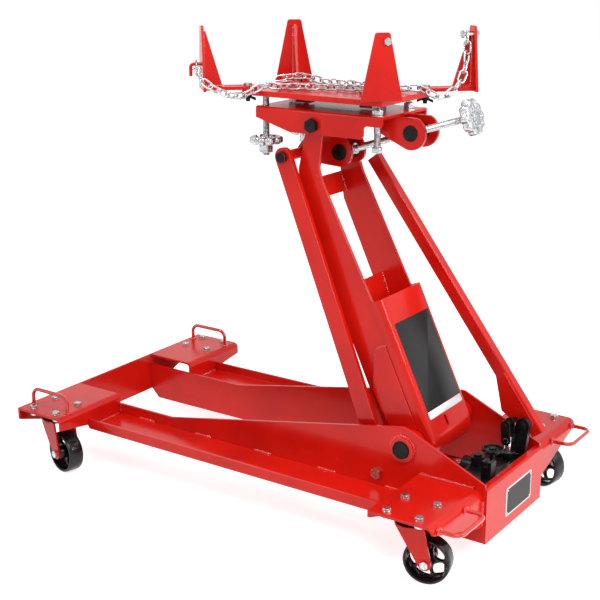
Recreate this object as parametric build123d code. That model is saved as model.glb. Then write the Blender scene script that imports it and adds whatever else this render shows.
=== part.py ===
"""Low-lift transmission jack: a floor jack with a parallel-link arm and a tilting saddle.

Millimetres. +X points to the pump end, +Y to the right-hand side, +Z up from the floor.
The arm is drawn raised, with the head level.
"""
from build123d import *
import math
import os

# Chassis
half_length = 609.0        # front plate face and rear handle rail, either side of the origin
sheet = 6.0                # chassis plate thickness
web_outer_y = 141.0        # outer face of each side plate
web_bottom_z = 37.0
web_front_top_z = 132.0
web_rise_start_x = -297.0  # where the top edge starts to climb to the arm pivot
web_crest_x = half_length - 244.0
web_crest_z = 259.0
web_rear_top_z = 171.0
nose_chamfer = 27.0
floor_top_z = 107.0        # tray outside each side plate
lip_outer_y = 259.0
lip_top_z = 129.0
seat_top_z = 158.0         # caster seats
seat_outer_y = 355.0
front_seat_rear_x = 145.0 - half_length
front_bend = 14.0
rear_seat_front_x = half_length - 206.0
rear_flange_x = half_length - 51.0
rear_bend = 20.0
front_plate_bottom_z = 58.0
front_tip_z = 128.0        # lower edge of the front plate and flange at the outer end
rear_tip_z = 143.0
rear_root_z = 72.0
rear_plate_x = half_length - 41.0  # outer face of the rear plate
rear_plate_top_z = 164.0
rear_plate_bottom_z = 36.0
rear_plate_lip = 12.0
weld_gap = 0.05            # between faces of welded or bolted pieces that would coincide
running = 0.05             # radial clearance of a shaft in its hole
handle_r = 4.75
front_handle_y = 314.0
front_handle_x = (15.0 - half_length, 130.0 - half_length)
front_handle_z = 200.0
rear_handle_y = (220.0, 335.0)
rear_handle_z = 146.0
handle_bend = 20.0

# Casters
front_swivel_x = 72.0 - half_length
rear_swivel_x = half_length - 135.0
swivel_y = 295.5
wheel_r = 50.8
tread_w = 38.0
hub_w = 46.0
hub_r = 15.0
rim_inner_r = 40.0
spoke_web = 10.0
spoke_count = 5
spoke_w = 13.0
caster_trail = 37.0
caster_plate_w = 102.0
caster_plate_t = 5.0
bolt_square = 76.0
bolt_r = 5.0
bolt_head_af = 17.0
bolt_head_h = 6.5
race_r = 30.0
race_h = 16.0
kingpin_r = 8.0
kingpin_head_r = 14.0
fork_disc_r = 36.0
fork_t = 5.0
fork_gap = 50.0            # between the fork legs
fork_tip_r = 14.0
axle_r = 5.0
axle_head_af = 17.0
axle_head_h = 6.0
float_gap = 0.5            # axial play between turning faces
# Turn of each fork about its swivel: trail direction from +X, as photographed
fork_turn = {"front_left": -13.5, "rear_left": 13.3, "front_right": 8.0, "rear_right": -12.0}

# Lifting arm, in its own plane: u runs from the base pivot to the head pivot, v towards the rear
arm_pivot_x = half_length - 247.0
arm_pivot_z = 207.0
arm_length = 729.4
arm_angle = 111.65         # degrees from +X, raised
arm_outer_y = 88.0
arm_plate_t = 8.0
arm_foot = ((-22.0, -64.0), (0.0, 41.0))  # corners of the side plates along and across the arm
arm_waist = (368.0, -2.0)
arm_neck = ((-169.4, -100.0), (-79.4, -78.0), (-95.4, -26.0), (-125.4, -27.0))  # from the head pivot
arm_neck_bends = (40.0, 25.0)
upper_cross_u = (-155.4, -107.4)  # from the head pivot
upper_cross_v = -86.0
lower_cross_u = (250.0, 369.0)
lower_cross_v = -60.0
shaft_r = 20.0
pivot_tube_r = 30.0
boss_r = 29.0
boss_proud = 9.0
shaft_proud = 11.0
arm_top_r = 23.0
arm_base_r = 43.0
head_shaft_r = 10.0
head_bolt_af = 28.0
head_bolt_h = 11.0
cross_plate_t = 8.0
cover_t = 5.0
cover_top_u = 323.0
cover_roll = 62.0          # how far the lower end rolls round the arm's base, degrees
cover_slot_u = 18.0
cover_slot_y = -13.0
cover_slot_l = 26.0
cover_slot_w = 9.0
cover_side = 27.0          # depth of the cover's side flanges
cover_bend = 12.0
cover_slope = 0.066        # the cover closes on the arm's line towards its top
cover_base_v = 49.0
gusset_t = 8.0

# Levelling link and level bracket
link_dx = -65.0            # link pivots from the arm pivots
link_dz = -73.0
link_w = 42.0
link_t = 12.0
link_inner_y = 106.0
link_pin_r = 8.0
link_head_af = 24.0
link_head_h = 8.0
ear_inner_y = 24.0
ear_t = 8.0
level_hub_r = 22.0
lower_trunnion_dx = 28.0   # from the head pivot
lower_trunnion_dz = -66.0
lower_trunnion_r = 18.0
lower_ear_r = 32.0

# Tilting head, from the head pivot
channel_half_w = 97.0
channel_t = 6.0
channel_top = 31.0
channel_front = -152.0
channel_rear = 175.0
channel_step = 128.0       # where the deep part of the sides ends
channel_depth = 51.0
channel_nose = 23.0
channel_tail = 22.0
upper_trunnion_dx = 207.0
upper_trunnion_dz = -8.0
upper_trunnion_r = 17.0
upper_ear_r = 36.0
ear_root_x = 134.0
screw_r = 8.0
screw_play = 0.9           # the screw's bore in the upper trunnion, open for the linkage
screw_reach = 322.0        # lower trunnion to the knob
screw_tail = 34.0
tilt_knob_r = 40.0
tilt_knob_t = 20.0
knob_lobes = 10
knob_bite = 0.12           # depth of the scallops as a share of the radius

# Saddle
roll_axis = 42.0           # above the head pivot
roll_shaft_r = 5.0
roll_block_x = 110.0
roll_block_l = 18.0
roll_block_w = 30.0
roll_lug_l = 36.0
roll_lug_w = 17.0
saddle_top = 66.0
saddle_t = 12.0
saddle_front = -187.0
saddle_rear = 178.0
saddle_half_w = 105.0
side_screw_dx = -136.0
side_screw_y = 80.0
side_screw_r = 8.0
side_tip_r = 2.5
side_tip_h = 4.0
side_tip_gap = 0.4
side_screw_bottom = -80.0
side_knob_r = 38.0
side_knob_top = -38.0
side_knob_t = 16.0
side_knob_hub_r = 16.0
side_knob_hub_h = 20.0
hold_down_dx = 146.0
hold_down_y = 66.0
hold_down_r = 8.0
hold_down_top = 45.0
hold_down_bottom = -50.0
hold_down_af = 22.0
hold_down_head_h = 11.0

# Corner brackets on their diagonal feet
bracket_base = 89.0
bracket_tip = 31.0
bracket_h = 140.0
bracket_t = 6.0
brace_depth = 41.0
brace_tip = 5.0
brace_h = 128.0
foot_w = 40.0
foot_t = 8.0
foot_l = 122.0
slot_w = 11.0
slot_start = 50.0          # from the upright's outer face, along the foot
slot_end = 114.0
slide_gap = 0.3            # between a foot and what it slides against
clamp_r = 5.0
clamp_head_r = 10.0
clamp_head_h = 5.0
wing_span = 36.0
wing_t = 6.0
wing_h = 15.0
hook_rod_r = 3.7
hook_out = 24.0
hook_down = 26.0
hook_h = 58.0
hook_side = 12.0
chain_bolt_h = 122.0
chain_bolt_r = 4.0
chain_bolt_af = 15.0
chain_bolt_l = 34.0
# Upright's and clamp bolt's place beyond the saddle corner, along the diagonal, as photographed
bracket_out = {"front_left": 88.0, "rear_left": 2.0, "front_right": 2.0, "rear_right": 96.0}
clamp_out = {"front_left": -16.0, "rear_left": -60.0, "front_right": -60.0, "rear_right": -12.0}
winged_corners = ("front_left", "rear_right")

# Tie-down chains
chain_wire = 4.4
chain_pitch = 22.0
chain_half_w = 9.8
chain_play = 2.2
chain_height = 9.3         # chain's middle above the saddle it lies on

# Hydraulic unit
crank_r = 80.0
crank_angle = 233.8        # raised, from +X
crank_plate_t = 8.0
crank_inner_y = 22.0
crank_hub_r = 42.0
crank_tip_r = 19.0
crank_pin_r = 8.0
roller_r = 13.0
ram_z = 134.0
ram_gap = 2.2              # ram face to roller, open for the linkage
ram_r = 17.0
ram_head_r = 19.0
ram_head_t = 12.0
ram_l = 130.0
barrel_r = 26.0
barrel_front_x = half_length - 169.0
block_front_x = half_length - 139.0
block_half_w = 98.0
block_bottom_z = 62.0
block_top_z = 157.5
bore_end_x = half_length - 50.0
plug_x = half_length - 125.0
plug_y = -20.0
plug_af = 30.0
plug_h = 20.0
post_x = half_length - 74.0  # square valve post
post_y = -72.0
post_w = 24.0
post_h = 40.0
post_notch_w = 7.0
post_notch_d = 11.0
valve_x = half_length - 90.0
valve_y = -20.0
valve_stem_r = 6.0
valve_stem_h = 44.0
valve_depth = 12.0
valve_knob_r = 25.0
valve_knob_t = 8.0
piston_x = half_length - 92.0
piston_y = 62.0
piston_r = 8.0
piston_depth = 45.0        # below the block's top
gland_r = 17.0
gland_h = 12.0
fulcrum_x = half_length - 69.0
fulcrum_z = 227.0
fulcrum_r = 6.0
fulcrum_af = 18.0
fulcrum_head_h = 7.0
stand_inner_y = 84.0
stand_t = 12.0
stand_r = 16.0
stand_foot = (half_length - 101.0, half_length - 61.0)
yoke_dx = -26.0            # yoke pin on the lever, from the fulcrum
yoke_dz = 6.0
yoke_drop = 37.0           # between the yoke's pins
yoke_pin_r = 5.0
yoke_inner = 9.0           # half the space between the yoke's plates
yoke_t = 5.0
yoke_eye_r = 11.0
yoke_play = 1.5            # lower eye round its pin, open for the linkage
lever_inner_y = 107.0
lever_w = 24.0
lever_depth = 31.0
lever_angle = 127.2
lever_up = 700.0
lever_down = 36.0
lever_offset = 6.0         # bar's centre line from the fulcrum
cheek_t = 6.0
cheek_tip_r = 12.0
cheek_tip = (-50.0, 24.0)
cheek_top = 118.0


def turned(u, v, angle):
    """A point given along and across a direction, in x and z."""
    a = math.radians(angle)
    return (u * math.cos(a) + v * math.sin(a), u * math.sin(a) - v * math.cos(a))


def arm_point(u, v):
    x, z = turned(u, v, arm_angle)
    return (arm_pivot_x + x, arm_pivot_z + z)


head_x, head_z = arm_point(arm_length, 0)


def head_point(dx, dz):
    return (head_x + dx, head_z + dz)


def outline(points, radii=None):
    """A closed flat outline with some corners rounded."""
    turns = zip(points, [*points[1:], points[0]])
    area = sum(a[0] * b[1] - b[0] * a[1] for a, b in turns)
    face = Polygon(*(points if area > 0 else reversed(points)), align=None)
    for point, radius in (radii or {}).items():
        corner = face.vertices().sort_by_distance((*point, 0))[0]
        face = fillet(corner, radius)
    return face


def disc(x, z, r):
    return Pos(x, z) * Circle(r)


def across(face, y0, y1):
    """An outline in x and z, as a plate from y0 to y1."""
    low, high = min(y0, y1), max(y0, y1)
    plane = Plane((0, high, 0), x_dir=(1, 0, 0), z_dir=(0, -1, 0))
    return extrude(plane * face, high - low, dir=(0, -1, 0))


def along(face, x0, x1):
    """An outline in y and z, as a plate from x0 to x1."""
    plane = Plane((x0, 0, 0), x_dir=(0, 1, 0), z_dir=(1, 0, 0))
    return extrude(plane * face, x1 - x0, dir=(1, 0, 0))


def upward(face, z0, z1):
    return extrude(Pos(0, 0, z0) * face, z1 - z0, dir=(0, 0, 1))


def rod(start, end, r):
    axis = Vector(*end) - Vector(*start)
    return extrude(Plane(start, z_dir=axis) * Circle(r), axis.length)


def hexagon(start, end, flats):
    axis = Vector(*end) - Vector(*start)
    return extrude(Plane(start, z_dir=axis) * RegularPolygon(flats / math.sqrt(3), 6), axis.length)


def bent_rod(points, radius, r):
    path = FilletPolyline(*points, radius=radius)
    return sweep(Plane(path @ 0, z_dir=path % 0) * Circle(r), path=path)


def mirrored(shape):
    return mirror(shape, about=Plane.XZ)


def both_sides(shape):
    return Compound([*shape.solids(), *mirrored(shape).solids()])


def spanned(*discs):
    """The tight outline round several discs."""
    edges = [edge for item in discs for edge in item.edges()]
    return make_hull(edges)


def star(r, lobes, depth):
    """A hand knob's outline: a disc with round finger scallops."""
    face = Circle(r)
    bite = math.pi * r / lobes * 0.55
    for i in range(lobes):
        a = math.radians(360 / lobes * (i + 0.5))
        reach = r + bite - depth
        face -= Pos(reach * math.cos(a), reach * math.sin(a)) * Circle(bite)
    return face


pieces = {}


def keep(name, *shapes):
    solids = [solid for shape in shapes for solid in shape.solids()]
    pieces[name] = solids[0] if len(solids) == 1 else Compound(solids)


# Chassis plates
front_x = -half_length
web_inner_y = web_outer_y - sheet
web_front_x = front_x + sheet
web_rear_x = rear_plate_x - sheet
link_foot = (arm_pivot_x + link_dx, arm_pivot_z + link_dz)


def side_plate():
    crest = (web_crest_x, web_crest_z)
    rise = (web_rise_start_x, web_front_top_z)
    face = outline(
        [
            (web_front_x, web_bottom_z + nose_chamfer),
            (web_front_x + nose_chamfer, web_bottom_z),
            (web_rear_x, web_bottom_z),
            (web_rear_x, web_rear_top_z),
            crest,
            rise,
            (web_front_x, web_front_top_z),
        ],
        {crest: 30, rise: 60},
    )
    return face - disc(arm_pivot_x, arm_pivot_z, shaft_r + weld_gap)


link_hole = disc(*link_foot, link_pin_r + weld_gap)
keep("left_side_plate", across(side_plate() - link_hole, -web_outer_y, -web_inner_y))
keep("right_side_plate", across(side_plate(), web_inner_y, web_outer_y))

tray = outline(
    [
        (web_outer_y, floor_top_z - sheet),
        (lip_outer_y, floor_top_z - sheet),
        (lip_outer_y, lip_top_z),
        (lip_outer_y - sheet, lip_top_z),
        (lip_outer_y - sheet, floor_top_z),
        (web_outer_y, floor_top_z),
    ],
    {(lip_outer_y, floor_top_z - sheet): sheet},
)
keep("side_trays", both_sides(along(tray, front_seat_rear_x, rear_seat_front_x)))

front_outline = outline(
    [
        (-seat_outer_y, seat_top_z),
        (-seat_outer_y, front_tip_z),
        (-web_outer_y, front_plate_bottom_z),
        (web_outer_y, front_plate_bottom_z),
        (seat_outer_y, front_tip_z),
        (seat_outer_y, seat_top_z),
    ]
)
keep("front_plate", along(front_outline, front_x, web_front_x))


def seat_profile(x0, x1, bend, depth):
    """A seat's bent section: flat top, round bend and rear flange."""
    corner, inside = (x1, seat_top_z), (x1 - sheet, seat_top_z - sheet)
    return outline(
        [
            (x0, seat_top_z),
            corner,
            (x1, depth),
            (x1 - sheet, depth),
            inside,
            (x0, seat_top_z - sheet),
        ],
        {corner: bend, inside: bend - sheet},
    )


def seat_trim(root_z, tip_z, x0, x1):
    """What the sloping lower edge of a seat's flanges leaves off."""
    cut = [(web_outer_y, 0), (web_outer_y, root_z), (seat_outer_y, tip_z), (seat_outer_y, 0)]
    return along(outline(cut), x0, x1)


def bolt_points(x):
    half = bolt_square / 2
    return [(x + i * half, swivel_y + j * half) for i in (-1, 1) for j in (-1, 1)]


def bolt_holes(x, z0, z1):
    hole = Circle(bolt_r + weld_gap)
    return [upward(Pos(*point) * hole, z0, z1) for point in bolt_points(x)]


tray_bottom_z = floor_top_z - sheet
front_seat = across(
    seat_profile(web_front_x, front_seat_rear_x, front_bend, tray_bottom_z), web_outer_y, seat_outer_y
)
front_seat -= seat_trim(tray_bottom_z - sheet, front_tip_z, front_x, front_seat_rear_x + 1)
for hole in bolt_holes(front_swivel_x, seat_top_z - sheet - 1, seat_top_z + 1):
    front_seat -= hole
keep("front_caster_seats", both_sides(front_seat))

rear_section = seat_profile(rear_seat_front_x, rear_flange_x, rear_bend, rear_root_z)
front_flange = outline(
    [
        (rear_seat_front_x, seat_top_z - sheet / 2),
        (rear_seat_front_x, rear_root_z),
        (rear_seat_front_x + sheet, rear_root_z),
        (rear_seat_front_x + sheet, seat_top_z - sheet / 2),
    ]
)
rear_seat = across(rear_section + front_flange, web_outer_y, seat_outer_y)
rear_seat -= seat_trim(rear_root_z, rear_tip_z, rear_seat_front_x - 1, rear_flange_x + 1)
for hole in bolt_holes(rear_swivel_x, seat_top_z - sheet - 1, seat_top_z + 1):
    rear_seat -= hole
keep("rear_caster_seats", both_sides(rear_seat))

rear_profile = outline(
    [
        (rear_plate_x, rear_plate_bottom_z),
        (rear_plate_x, rear_plate_top_z),
        (web_rear_x - rear_plate_lip, rear_plate_top_z),
        (web_rear_x - rear_plate_lip, rear_plate_top_z - sheet),
        (web_rear_x, rear_plate_top_z - sheet),
        (web_rear_x, rear_plate_bottom_z),
    ],
    {(rear_plate_x, rear_plate_top_z): sheet},
)
rear_lip_cut = Pos(web_rear_x - rear_plate_lip, 0, rear_plate_top_z) * Box(
    2 * rear_plate_lip, 2 * web_outer_y, 4 * sheet
)
rear_plate = across(rear_profile, -web_outer_y, web_outer_y)
rear_plate -= rear_lip_cut - Pos(web_rear_x, 0, rear_plate_top_z) * Box(
    4 * rear_plate_lip, 2 * (web_inner_y - weld_gap), 4 * sheet
)
keep("rear_plate", rear_plate)

front_handle = bent_rod(
    [
        (front_handle_x[0], front_handle_y, seat_top_z),
        (front_handle_x[0], front_handle_y, front_handle_z),
        (front_handle_x[1], front_handle_y, front_handle_z),
        (front_handle_x[1], front_handle_y, seat_top_z),
    ],
    handle_bend,
    handle_r,
)
keep("front_handles", both_sides(front_handle))
rail_x = half_length - handle_r
handle_root_x = rear_flange_x
rear_handle = bent_rod(
    [
        (handle_root_x, rear_handle_y[0], rear_handle_z),
        (rail_x, rear_handle_y[0], rear_handle_z),
        (rail_x, rear_handle_y[1], rear_handle_z),
        (handle_root_x, rear_handle_y[1], rear_handle_z),
    ],
    handle_bend,
    handle_r,
)
beyond_flange = Box(2 * half_length, 4 * half_length, 4 * half_length)
rear_handle &= Pos(rear_flange_x + half_length, 0, 0) * beyond_flange
keep("rear_handles", both_sides(rear_handle))

# Main pivot
shaft_end_y = web_outer_y + shaft_proud
keep("main_pivot_shaft", across(disc(arm_pivot_x, arm_pivot_z, shaft_r), -shaft_end_y, shaft_end_y))
boss = disc(arm_pivot_x, arm_pivot_z, boss_r) - disc(arm_pivot_x, arm_pivot_z, shaft_r + weld_gap)
keep("pivot_bosses", both_sides(across(boss, web_outer_y, web_outer_y + boss_proud)))
link_x, link_z = link_foot
link_outer_y = link_inner_y + link_t
keep(
    "link_foot_bolt",
    rod((link_x, -web_outer_y - link_head_h, link_z), (link_x, -link_inner_y + 1, link_z), link_pin_r)
    + hexagon((link_x, -web_outer_y - link_head_h, link_z), (link_x, -web_outer_y, link_z), link_head_af)
    + rod((link_x, -web_inner_y, link_z), (link_x, -link_outer_y - float_gap, link_z), link_pin_r + 5),
)

# Casters
caster_plate_z = seat_top_z - sheet - caster_plate_t
race_z = caster_plate_z - race_h
fork_top_z = race_z - float_gap
fork_under_z = fork_top_z - fork_t
caster_places = {
    "front_left": (front_swivel_x, -swivel_y),
    "rear_left": (rear_swivel_x, -swivel_y),
    "front_right": (front_swivel_x, swivel_y),
    "rear_right": (rear_swivel_x, swivel_y),
}


def caster_mount(x):
    """Bolted plate, ball race and kingpin of one right-hand caster."""
    plate = upward(
        Pos(x, swivel_y) * RectangleRounded(caster_plate_w, caster_plate_w, 8),
        caster_plate_z,
        caster_plate_z + caster_plate_t,
    )
    plate += upward(Pos(x, swivel_y) * Circle(race_r), race_z, caster_plate_z)
    head_z = fork_under_z - float_gap
    plate += upward(Pos(x, swivel_y) * Circle(kingpin_r), head_z, race_z)
    plate += upward(Pos(x, swivel_y) * Circle(kingpin_head_r), head_z - fork_t, head_z)
    for hole in bolt_holes(x, caster_plate_z - 1, seat_top_z):
        plate -= hole
    return plate


keep("caster_plates", *[both_sides(caster_mount(x)) for x in (front_swivel_x, rear_swivel_x)])


def seat_bolt(x, y):
    nut_z = caster_plate_z - bolt_head_h
    return (
        hexagon((x, y, seat_top_z), (x, y, seat_top_z + bolt_head_h), bolt_head_af)
        + rod((x, y, nut_z), (x, y, seat_top_z), bolt_r)
        + hexagon((x, y, nut_z), (x, y, caster_plate_z), bolt_head_af)
    )


seat_bolts = [seat_bolt(*p) for x in (front_swivel_x, rear_swivel_x) for p in bolt_points(x)]
keep("caster_bolts", *[both_sides(bolt) for bolt in seat_bolts])

leg_outer_y = fork_gap / 2 + fork_t


def fork():
    """Swivel fork with its trail along +X from the swivel at the origin."""
    leg_top = Line((-fork_disc_r * 0.75, fork_top_z), (fork_disc_r * 0.95, fork_top_z))
    leg_face = make_hull([*leg_top.edges(), *disc(caster_trail, wheel_r, fork_tip_r).edges()])
    leg_face -= disc(caster_trail, wheel_r, axle_r + weld_gap)
    leg = across(leg_face, fork_gap / 2, leg_outer_y)
    crown = upward(Circle(fork_disc_r), fork_under_z, fork_top_z)
    return crown + leg + mirrored(leg) - upward(Circle(kingpin_r + running), 0, seat_top_z)


def axle_bolt():
    half = leg_outer_y + axle_head_h
    bolt = rod((caster_trail, -half, wheel_r), (caster_trail, half, wheel_r), axle_r)
    for side in (-1, 1):
        start = (caster_trail, side * leg_outer_y, wheel_r)
        bolt += hexagon(start, (caster_trail, side * half, wheel_r), axle_head_af)
    return bolt


def wheel():
    """Cast spoked wheel, its axis along Y at the trail."""
    half = tread_w / 2
    rim = outline(
        [(rim_inner_r, -half), (wheel_r, -half), (wheel_r, half), (rim_inner_r, half)],
        {(wheel_r, -half): 4, (wheel_r, half): 4},
    )
    hub = Pos((hub_r + axle_r) / 2, 0) * Rectangle(hub_r - axle_r, hub_w)
    web_r = (hub_r + rim_inner_r) / 2
    web = Pos(web_r, 0) * Rectangle(rim_inner_r - hub_r + 2, spoke_web)
    section = Plane.XY * (rim + hub + web)
    body = revolve(section, Axis.Y)
    step = 360 / spoke_count
    window_r = rim_inner_r - 1.5
    window = Circle(window_r) - Circle(hub_r + 4)
    for i in range(spoke_count):
        spoke = Rot(0, 0, i * step) * Pos(window_r / 2, 0) * Rectangle(window_r + 2, spoke_w)
        window -= spoke
    body -= across(window, -half, half)
    body -= rod((0, -hub_w, 0), (0, hub_w, 0), axle_r + running)
    return Pos(caster_trail, 0, wheel_r) * body


for place, (x, y) in caster_places.items():
    where = Pos(x, y, 0) * Rot(0, 0, fork_turn[place])
    keep(place + "_fork", where * fork(), where * axle_bolt())
    keep(place + "_wheel", where * wheel())

# Lifting arm
arm_inner_y = arm_outer_y - arm_plate_t


def arm_face():
    neck = [(arm_length + u, v) for u, v in arm_neck]
    bar = [
        arm_foot[0],
        neck[0],
        neck[1],
        (arm_length + arm_top_r / 6, 1 - arm_top_r),
        (arm_length - arm_top_r / 2, arm_top_r - 4),
        neck[2],
        neck[3],
        arm_waist,
        arm_foot[1],
    ]
    rounds = dict(zip((neck[1], neck[2]), arm_neck_bends))
    face = outline([arm_point(*p) for p in bar], {arm_point(*p): r for p, r in rounds.items()})
    face += disc(arm_pivot_x, arm_pivot_z, arm_base_r)
    face += disc(head_x, head_z, arm_top_r)
    face -= disc(arm_pivot_x, arm_pivot_z, pivot_tube_r + weld_gap)
    return face - disc(head_x, head_z, head_shaft_r + weld_gap)


keep("left_arm_plate", across(arm_face(), -arm_outer_y, -arm_inner_y))
keep("right_arm_plate", across(arm_face(), arm_inner_y, arm_outer_y))


def arm_box(u0, u1, v0, v1):
    return outline([arm_point(u0, v0), arm_point(u1, v0), arm_point(u1, v1), arm_point(u0, v1)])


upper_span = [arm_length + u for u in upper_cross_u]
upper_cross = arm_box(*upper_span, upper_cross_v - cross_plate_t, upper_cross_v)
lower_cross = arm_box(*lower_cross_u, lower_cross_v - cross_plate_t, lower_cross_v)
keep("arm_cross_plates", *[across(face, -arm_inner_y, arm_inner_y) for face in (upper_cross, lower_cross)])

tube_half = web_inner_y - 2
tube = disc(arm_pivot_x, arm_pivot_z, pivot_tube_r) - disc(arm_pivot_x, arm_pivot_z, shaft_r + running)
keep("arm_pivot_tube", across(tube, -tube_half, tube_half))

cover_outer_y = arm_outer_y + cover_t + weld_gap


def cover_v(u):
    """Rear face of the cover along the arm."""
    return cover_base_v - cover_slope * u


def arm_v(point):
    """How far towards the rear of the arm's line a point lies."""
    a = math.radians(arm_angle)
    return (point.X - arm_pivot_x) * math.sin(a) - (point.Z - arm_pivot_z) * math.cos(a)


def cover_section(inset, side, roll, rise):
    """The cover's outline with its back and rolled end moved in by inset."""
    lean = 90 - math.degrees(math.atan(cover_slope))
    r = cover_base_v * math.sin(math.radians(lean)) - inset
    foot, middle, end = (turned(r, 0, lean + share * roll) for share in (0, 0.5, 1))
    top = cover_top_u + rise
    back_v = foot[1] - cover_slope * (top - foot[0])
    corners = [end, (0, 0), (foot[0], foot[1] - side), (top, back_v - side), (top, back_v), foot]
    sides = Polyline(*[arm_point(*p) for p in corners])
    return make_face(sides + ThreePointArc(*[arm_point(*p) for p in (foot, middle, end)]))


def arm_cover():
    """Folded cover on the arm's back, with a slot above its rolled lower end."""
    solid = across(cover_section(0, cover_side, cover_roll, 0), -cover_outer_y, cover_outer_y)
    lengthwise = [edge for edge in solid.edges() if abs(edge.center().Y) > arm_outer_y]
    solid = fillet([edge for edge in lengthwise if arm_v(edge.center()) > cover_side], cover_bend)
    hollow_y = arm_outer_y + weld_gap
    solid -= across(cover_section(cover_t, 2 * cover_side, cover_roll + 25, 1), -hollow_y, hollow_y)
    slot_x, slot_z = arm_point(cover_slot_u, cover_v(cover_slot_u))
    slot_plane = Plane(
        (slot_x, cover_slot_y, slot_z),
        x_dir=(math.cos(math.radians(arm_angle)), 0, math.sin(math.radians(arm_angle))),
        z_dir=(math.sin(math.radians(arm_angle)), 0, -math.cos(math.radians(arm_angle))),
    )
    solid -= extrude(slot_plane * SlotOverall(cover_slot_l, cover_slot_w), 2 * cover_t, both=True)
    return solid - across(disc(arm_pivot_x, arm_pivot_z, pivot_tube_r + 1), -cover_outer_y, cover_outer_y)


keep("arm_cover", arm_cover())


def doubler():
    """Doubler plate on the arm's side, between its front edge and the cover."""
    low, high = 26, 222
    edge = cover_side + 1
    points = [
        (high, -22),
        (high, cover_v(high) - edge),
        (low, cover_v(low) - edge),
        (low - 4, -44),
        (134, -62),
    ]
    face = outline([arm_point(*p) for p in points], {arm_point(*points[4]): 30})
    return face - disc(arm_pivot_x, arm_pivot_z, pivot_tube_r + weld_gap)


keep("arm_gussets", both_sides(across(doubler(), arm_outer_y, arm_outer_y + gusset_t)))

# Crank that the ram pushes
crank_dx, crank_dz = turned(crank_r, 0, crank_angle)
crank_x, crank_z = arm_pivot_x + crank_dx, arm_pivot_z + crank_dz
crank_outer_y = crank_inner_y + crank_plate_t
crank_face = spanned(disc(arm_pivot_x, arm_pivot_z, crank_hub_r), disc(crank_x, crank_z, crank_tip_r))
crank_face -= disc(arm_pivot_x, arm_pivot_z, pivot_tube_r + weld_gap)
crank_face -= disc(crank_x, crank_z, crank_pin_r + weld_gap)
roller = disc(crank_x, crank_z, roller_r)
crank_pin = rod((crank_x, -crank_outer_y, crank_z), (crank_x, crank_outer_y, crank_z), crank_pin_r)
keep(
    "arm_crank",
    both_sides(across(crank_face, crank_inner_y, crank_outer_y)),
    across(roller, float_gap - crank_inner_y, crank_inner_y - float_gap) + crank_pin,
)

# Head shaft and levelling linkage
channel_inner_y = channel_half_w - channel_t
head_bolt_y = channel_half_w + float_gap
head_end_y = head_bolt_y + head_bolt_h
head_shaft = rod((head_x, -head_end_y, head_z), (head_x, head_end_y, head_z), head_shaft_r)
for side in (-1, 1):
    inner_end = (head_x, side * head_bolt_y, head_z)
    head_shaft += hexagon(inner_end, (head_x, side * head_end_y, head_z), head_bolt_af)
keep("head_shaft", head_shaft)

link_top = head_point(link_dx, link_dz)
link_face = spanned(disc(*link_foot, link_w / 2), disc(*link_top, link_w / 2))
for end in (link_foot, link_top):
    link_face -= disc(*end, link_pin_r + running)
keep("level_link", across(link_face, -link_outer_y, -link_inner_y))

lower_trunnion = head_point(lower_trunnion_dx, lower_trunnion_dz)
upper_trunnion = head_point(upper_trunnion_dx, upper_trunnion_dz)
ear_outer_y = ear_inner_y + ear_t
level_face = spanned(
    disc(head_x, head_z, level_hub_r),
    disc(*link_top, link_pin_r + 12),
    disc(*lower_trunnion, lower_ear_r),
)
level_face -= disc(*lower_trunnion, lower_trunnion_r + running)
level_face -= disc(*link_top, link_pin_r + weld_gap)
level_plate = across(level_face, ear_inner_y, ear_outer_y)
hub_half = arm_inner_y - float_gap
level_bracket = level_plate + mirrored(level_plate)
level_bracket += rod((head_x, -hub_half, head_z), (head_x, hub_half, head_z), level_hub_r - 5)
level_bracket -= rod((head_x, -hub_half, head_z), (head_x, hub_half, head_z), head_shaft_r + running)
bolt_y = -link_outer_y - float_gap
link_bolt = rod((link_top[0], bolt_y, link_top[1]), (link_top[0], ear_outer_y, link_top[1]), link_pin_r)
link_bolt += hexagon(
    (link_top[0], bolt_y - link_head_h, link_top[1]), (link_top[0], bolt_y, link_top[1]), link_head_af
)
collar_y = (float_gap - link_inner_y, -ear_outer_y)
link_bolt += across(disc(*link_top, link_pin_r + 4), *collar_y)
keep("level_bracket", level_bracket, link_bolt)

# Tilt screw between its trunnions
screw_dx = upper_trunnion_dx - lower_trunnion_dx
screw_dz = upper_trunnion_dz - lower_trunnion_dz
screw_angle = math.degrees(math.atan2(screw_dz, screw_dx))


def on_screw(distance):
    dx, dz = turned(distance, 0, screw_angle)
    return (lower_trunnion[0] + dx, 0, lower_trunnion[1] + dz)


def trunnion(centre, r, bore):
    half = ear_outer_y + 2
    barrel = rod((centre[0], -half, centre[1]), (centre[0], half, centre[1]), r)
    return barrel - rod(on_screw(-screw_tail), on_screw(screw_reach), bore)


keep("lower_trunnion", trunnion(lower_trunnion, lower_trunnion_r, screw_r + running))
keep("upper_trunnion", trunnion(upper_trunnion, upper_trunnion_r, screw_r + screw_play))
stop_at = lower_trunnion_r + float_gap
tilt_screw = rod(on_screw(-screw_tail), on_screw(screw_reach), screw_r)
tilt_screw += rod(on_screw(stop_at), on_screw(stop_at + 7), screw_r + 5)
tilt_screw += hexagon(on_screw(-stop_at - 9), on_screw(-stop_at), 24)
keep("tilt_screw", tilt_screw)


def star_knob(start, end, r, hub_start, hub_r, bore):
    """A scalloped hand knob from start to end, with a hub from hub_start."""
    axis = Vector(*end) - Vector(*start)
    body = extrude(Plane(start, z_dir=axis) * star(r, knob_lobes, r * knob_bite), axis.length)
    body += rod(hub_start, start, hub_r)
    return body - rod(hub_start, end, bore) if bore else body


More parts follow.
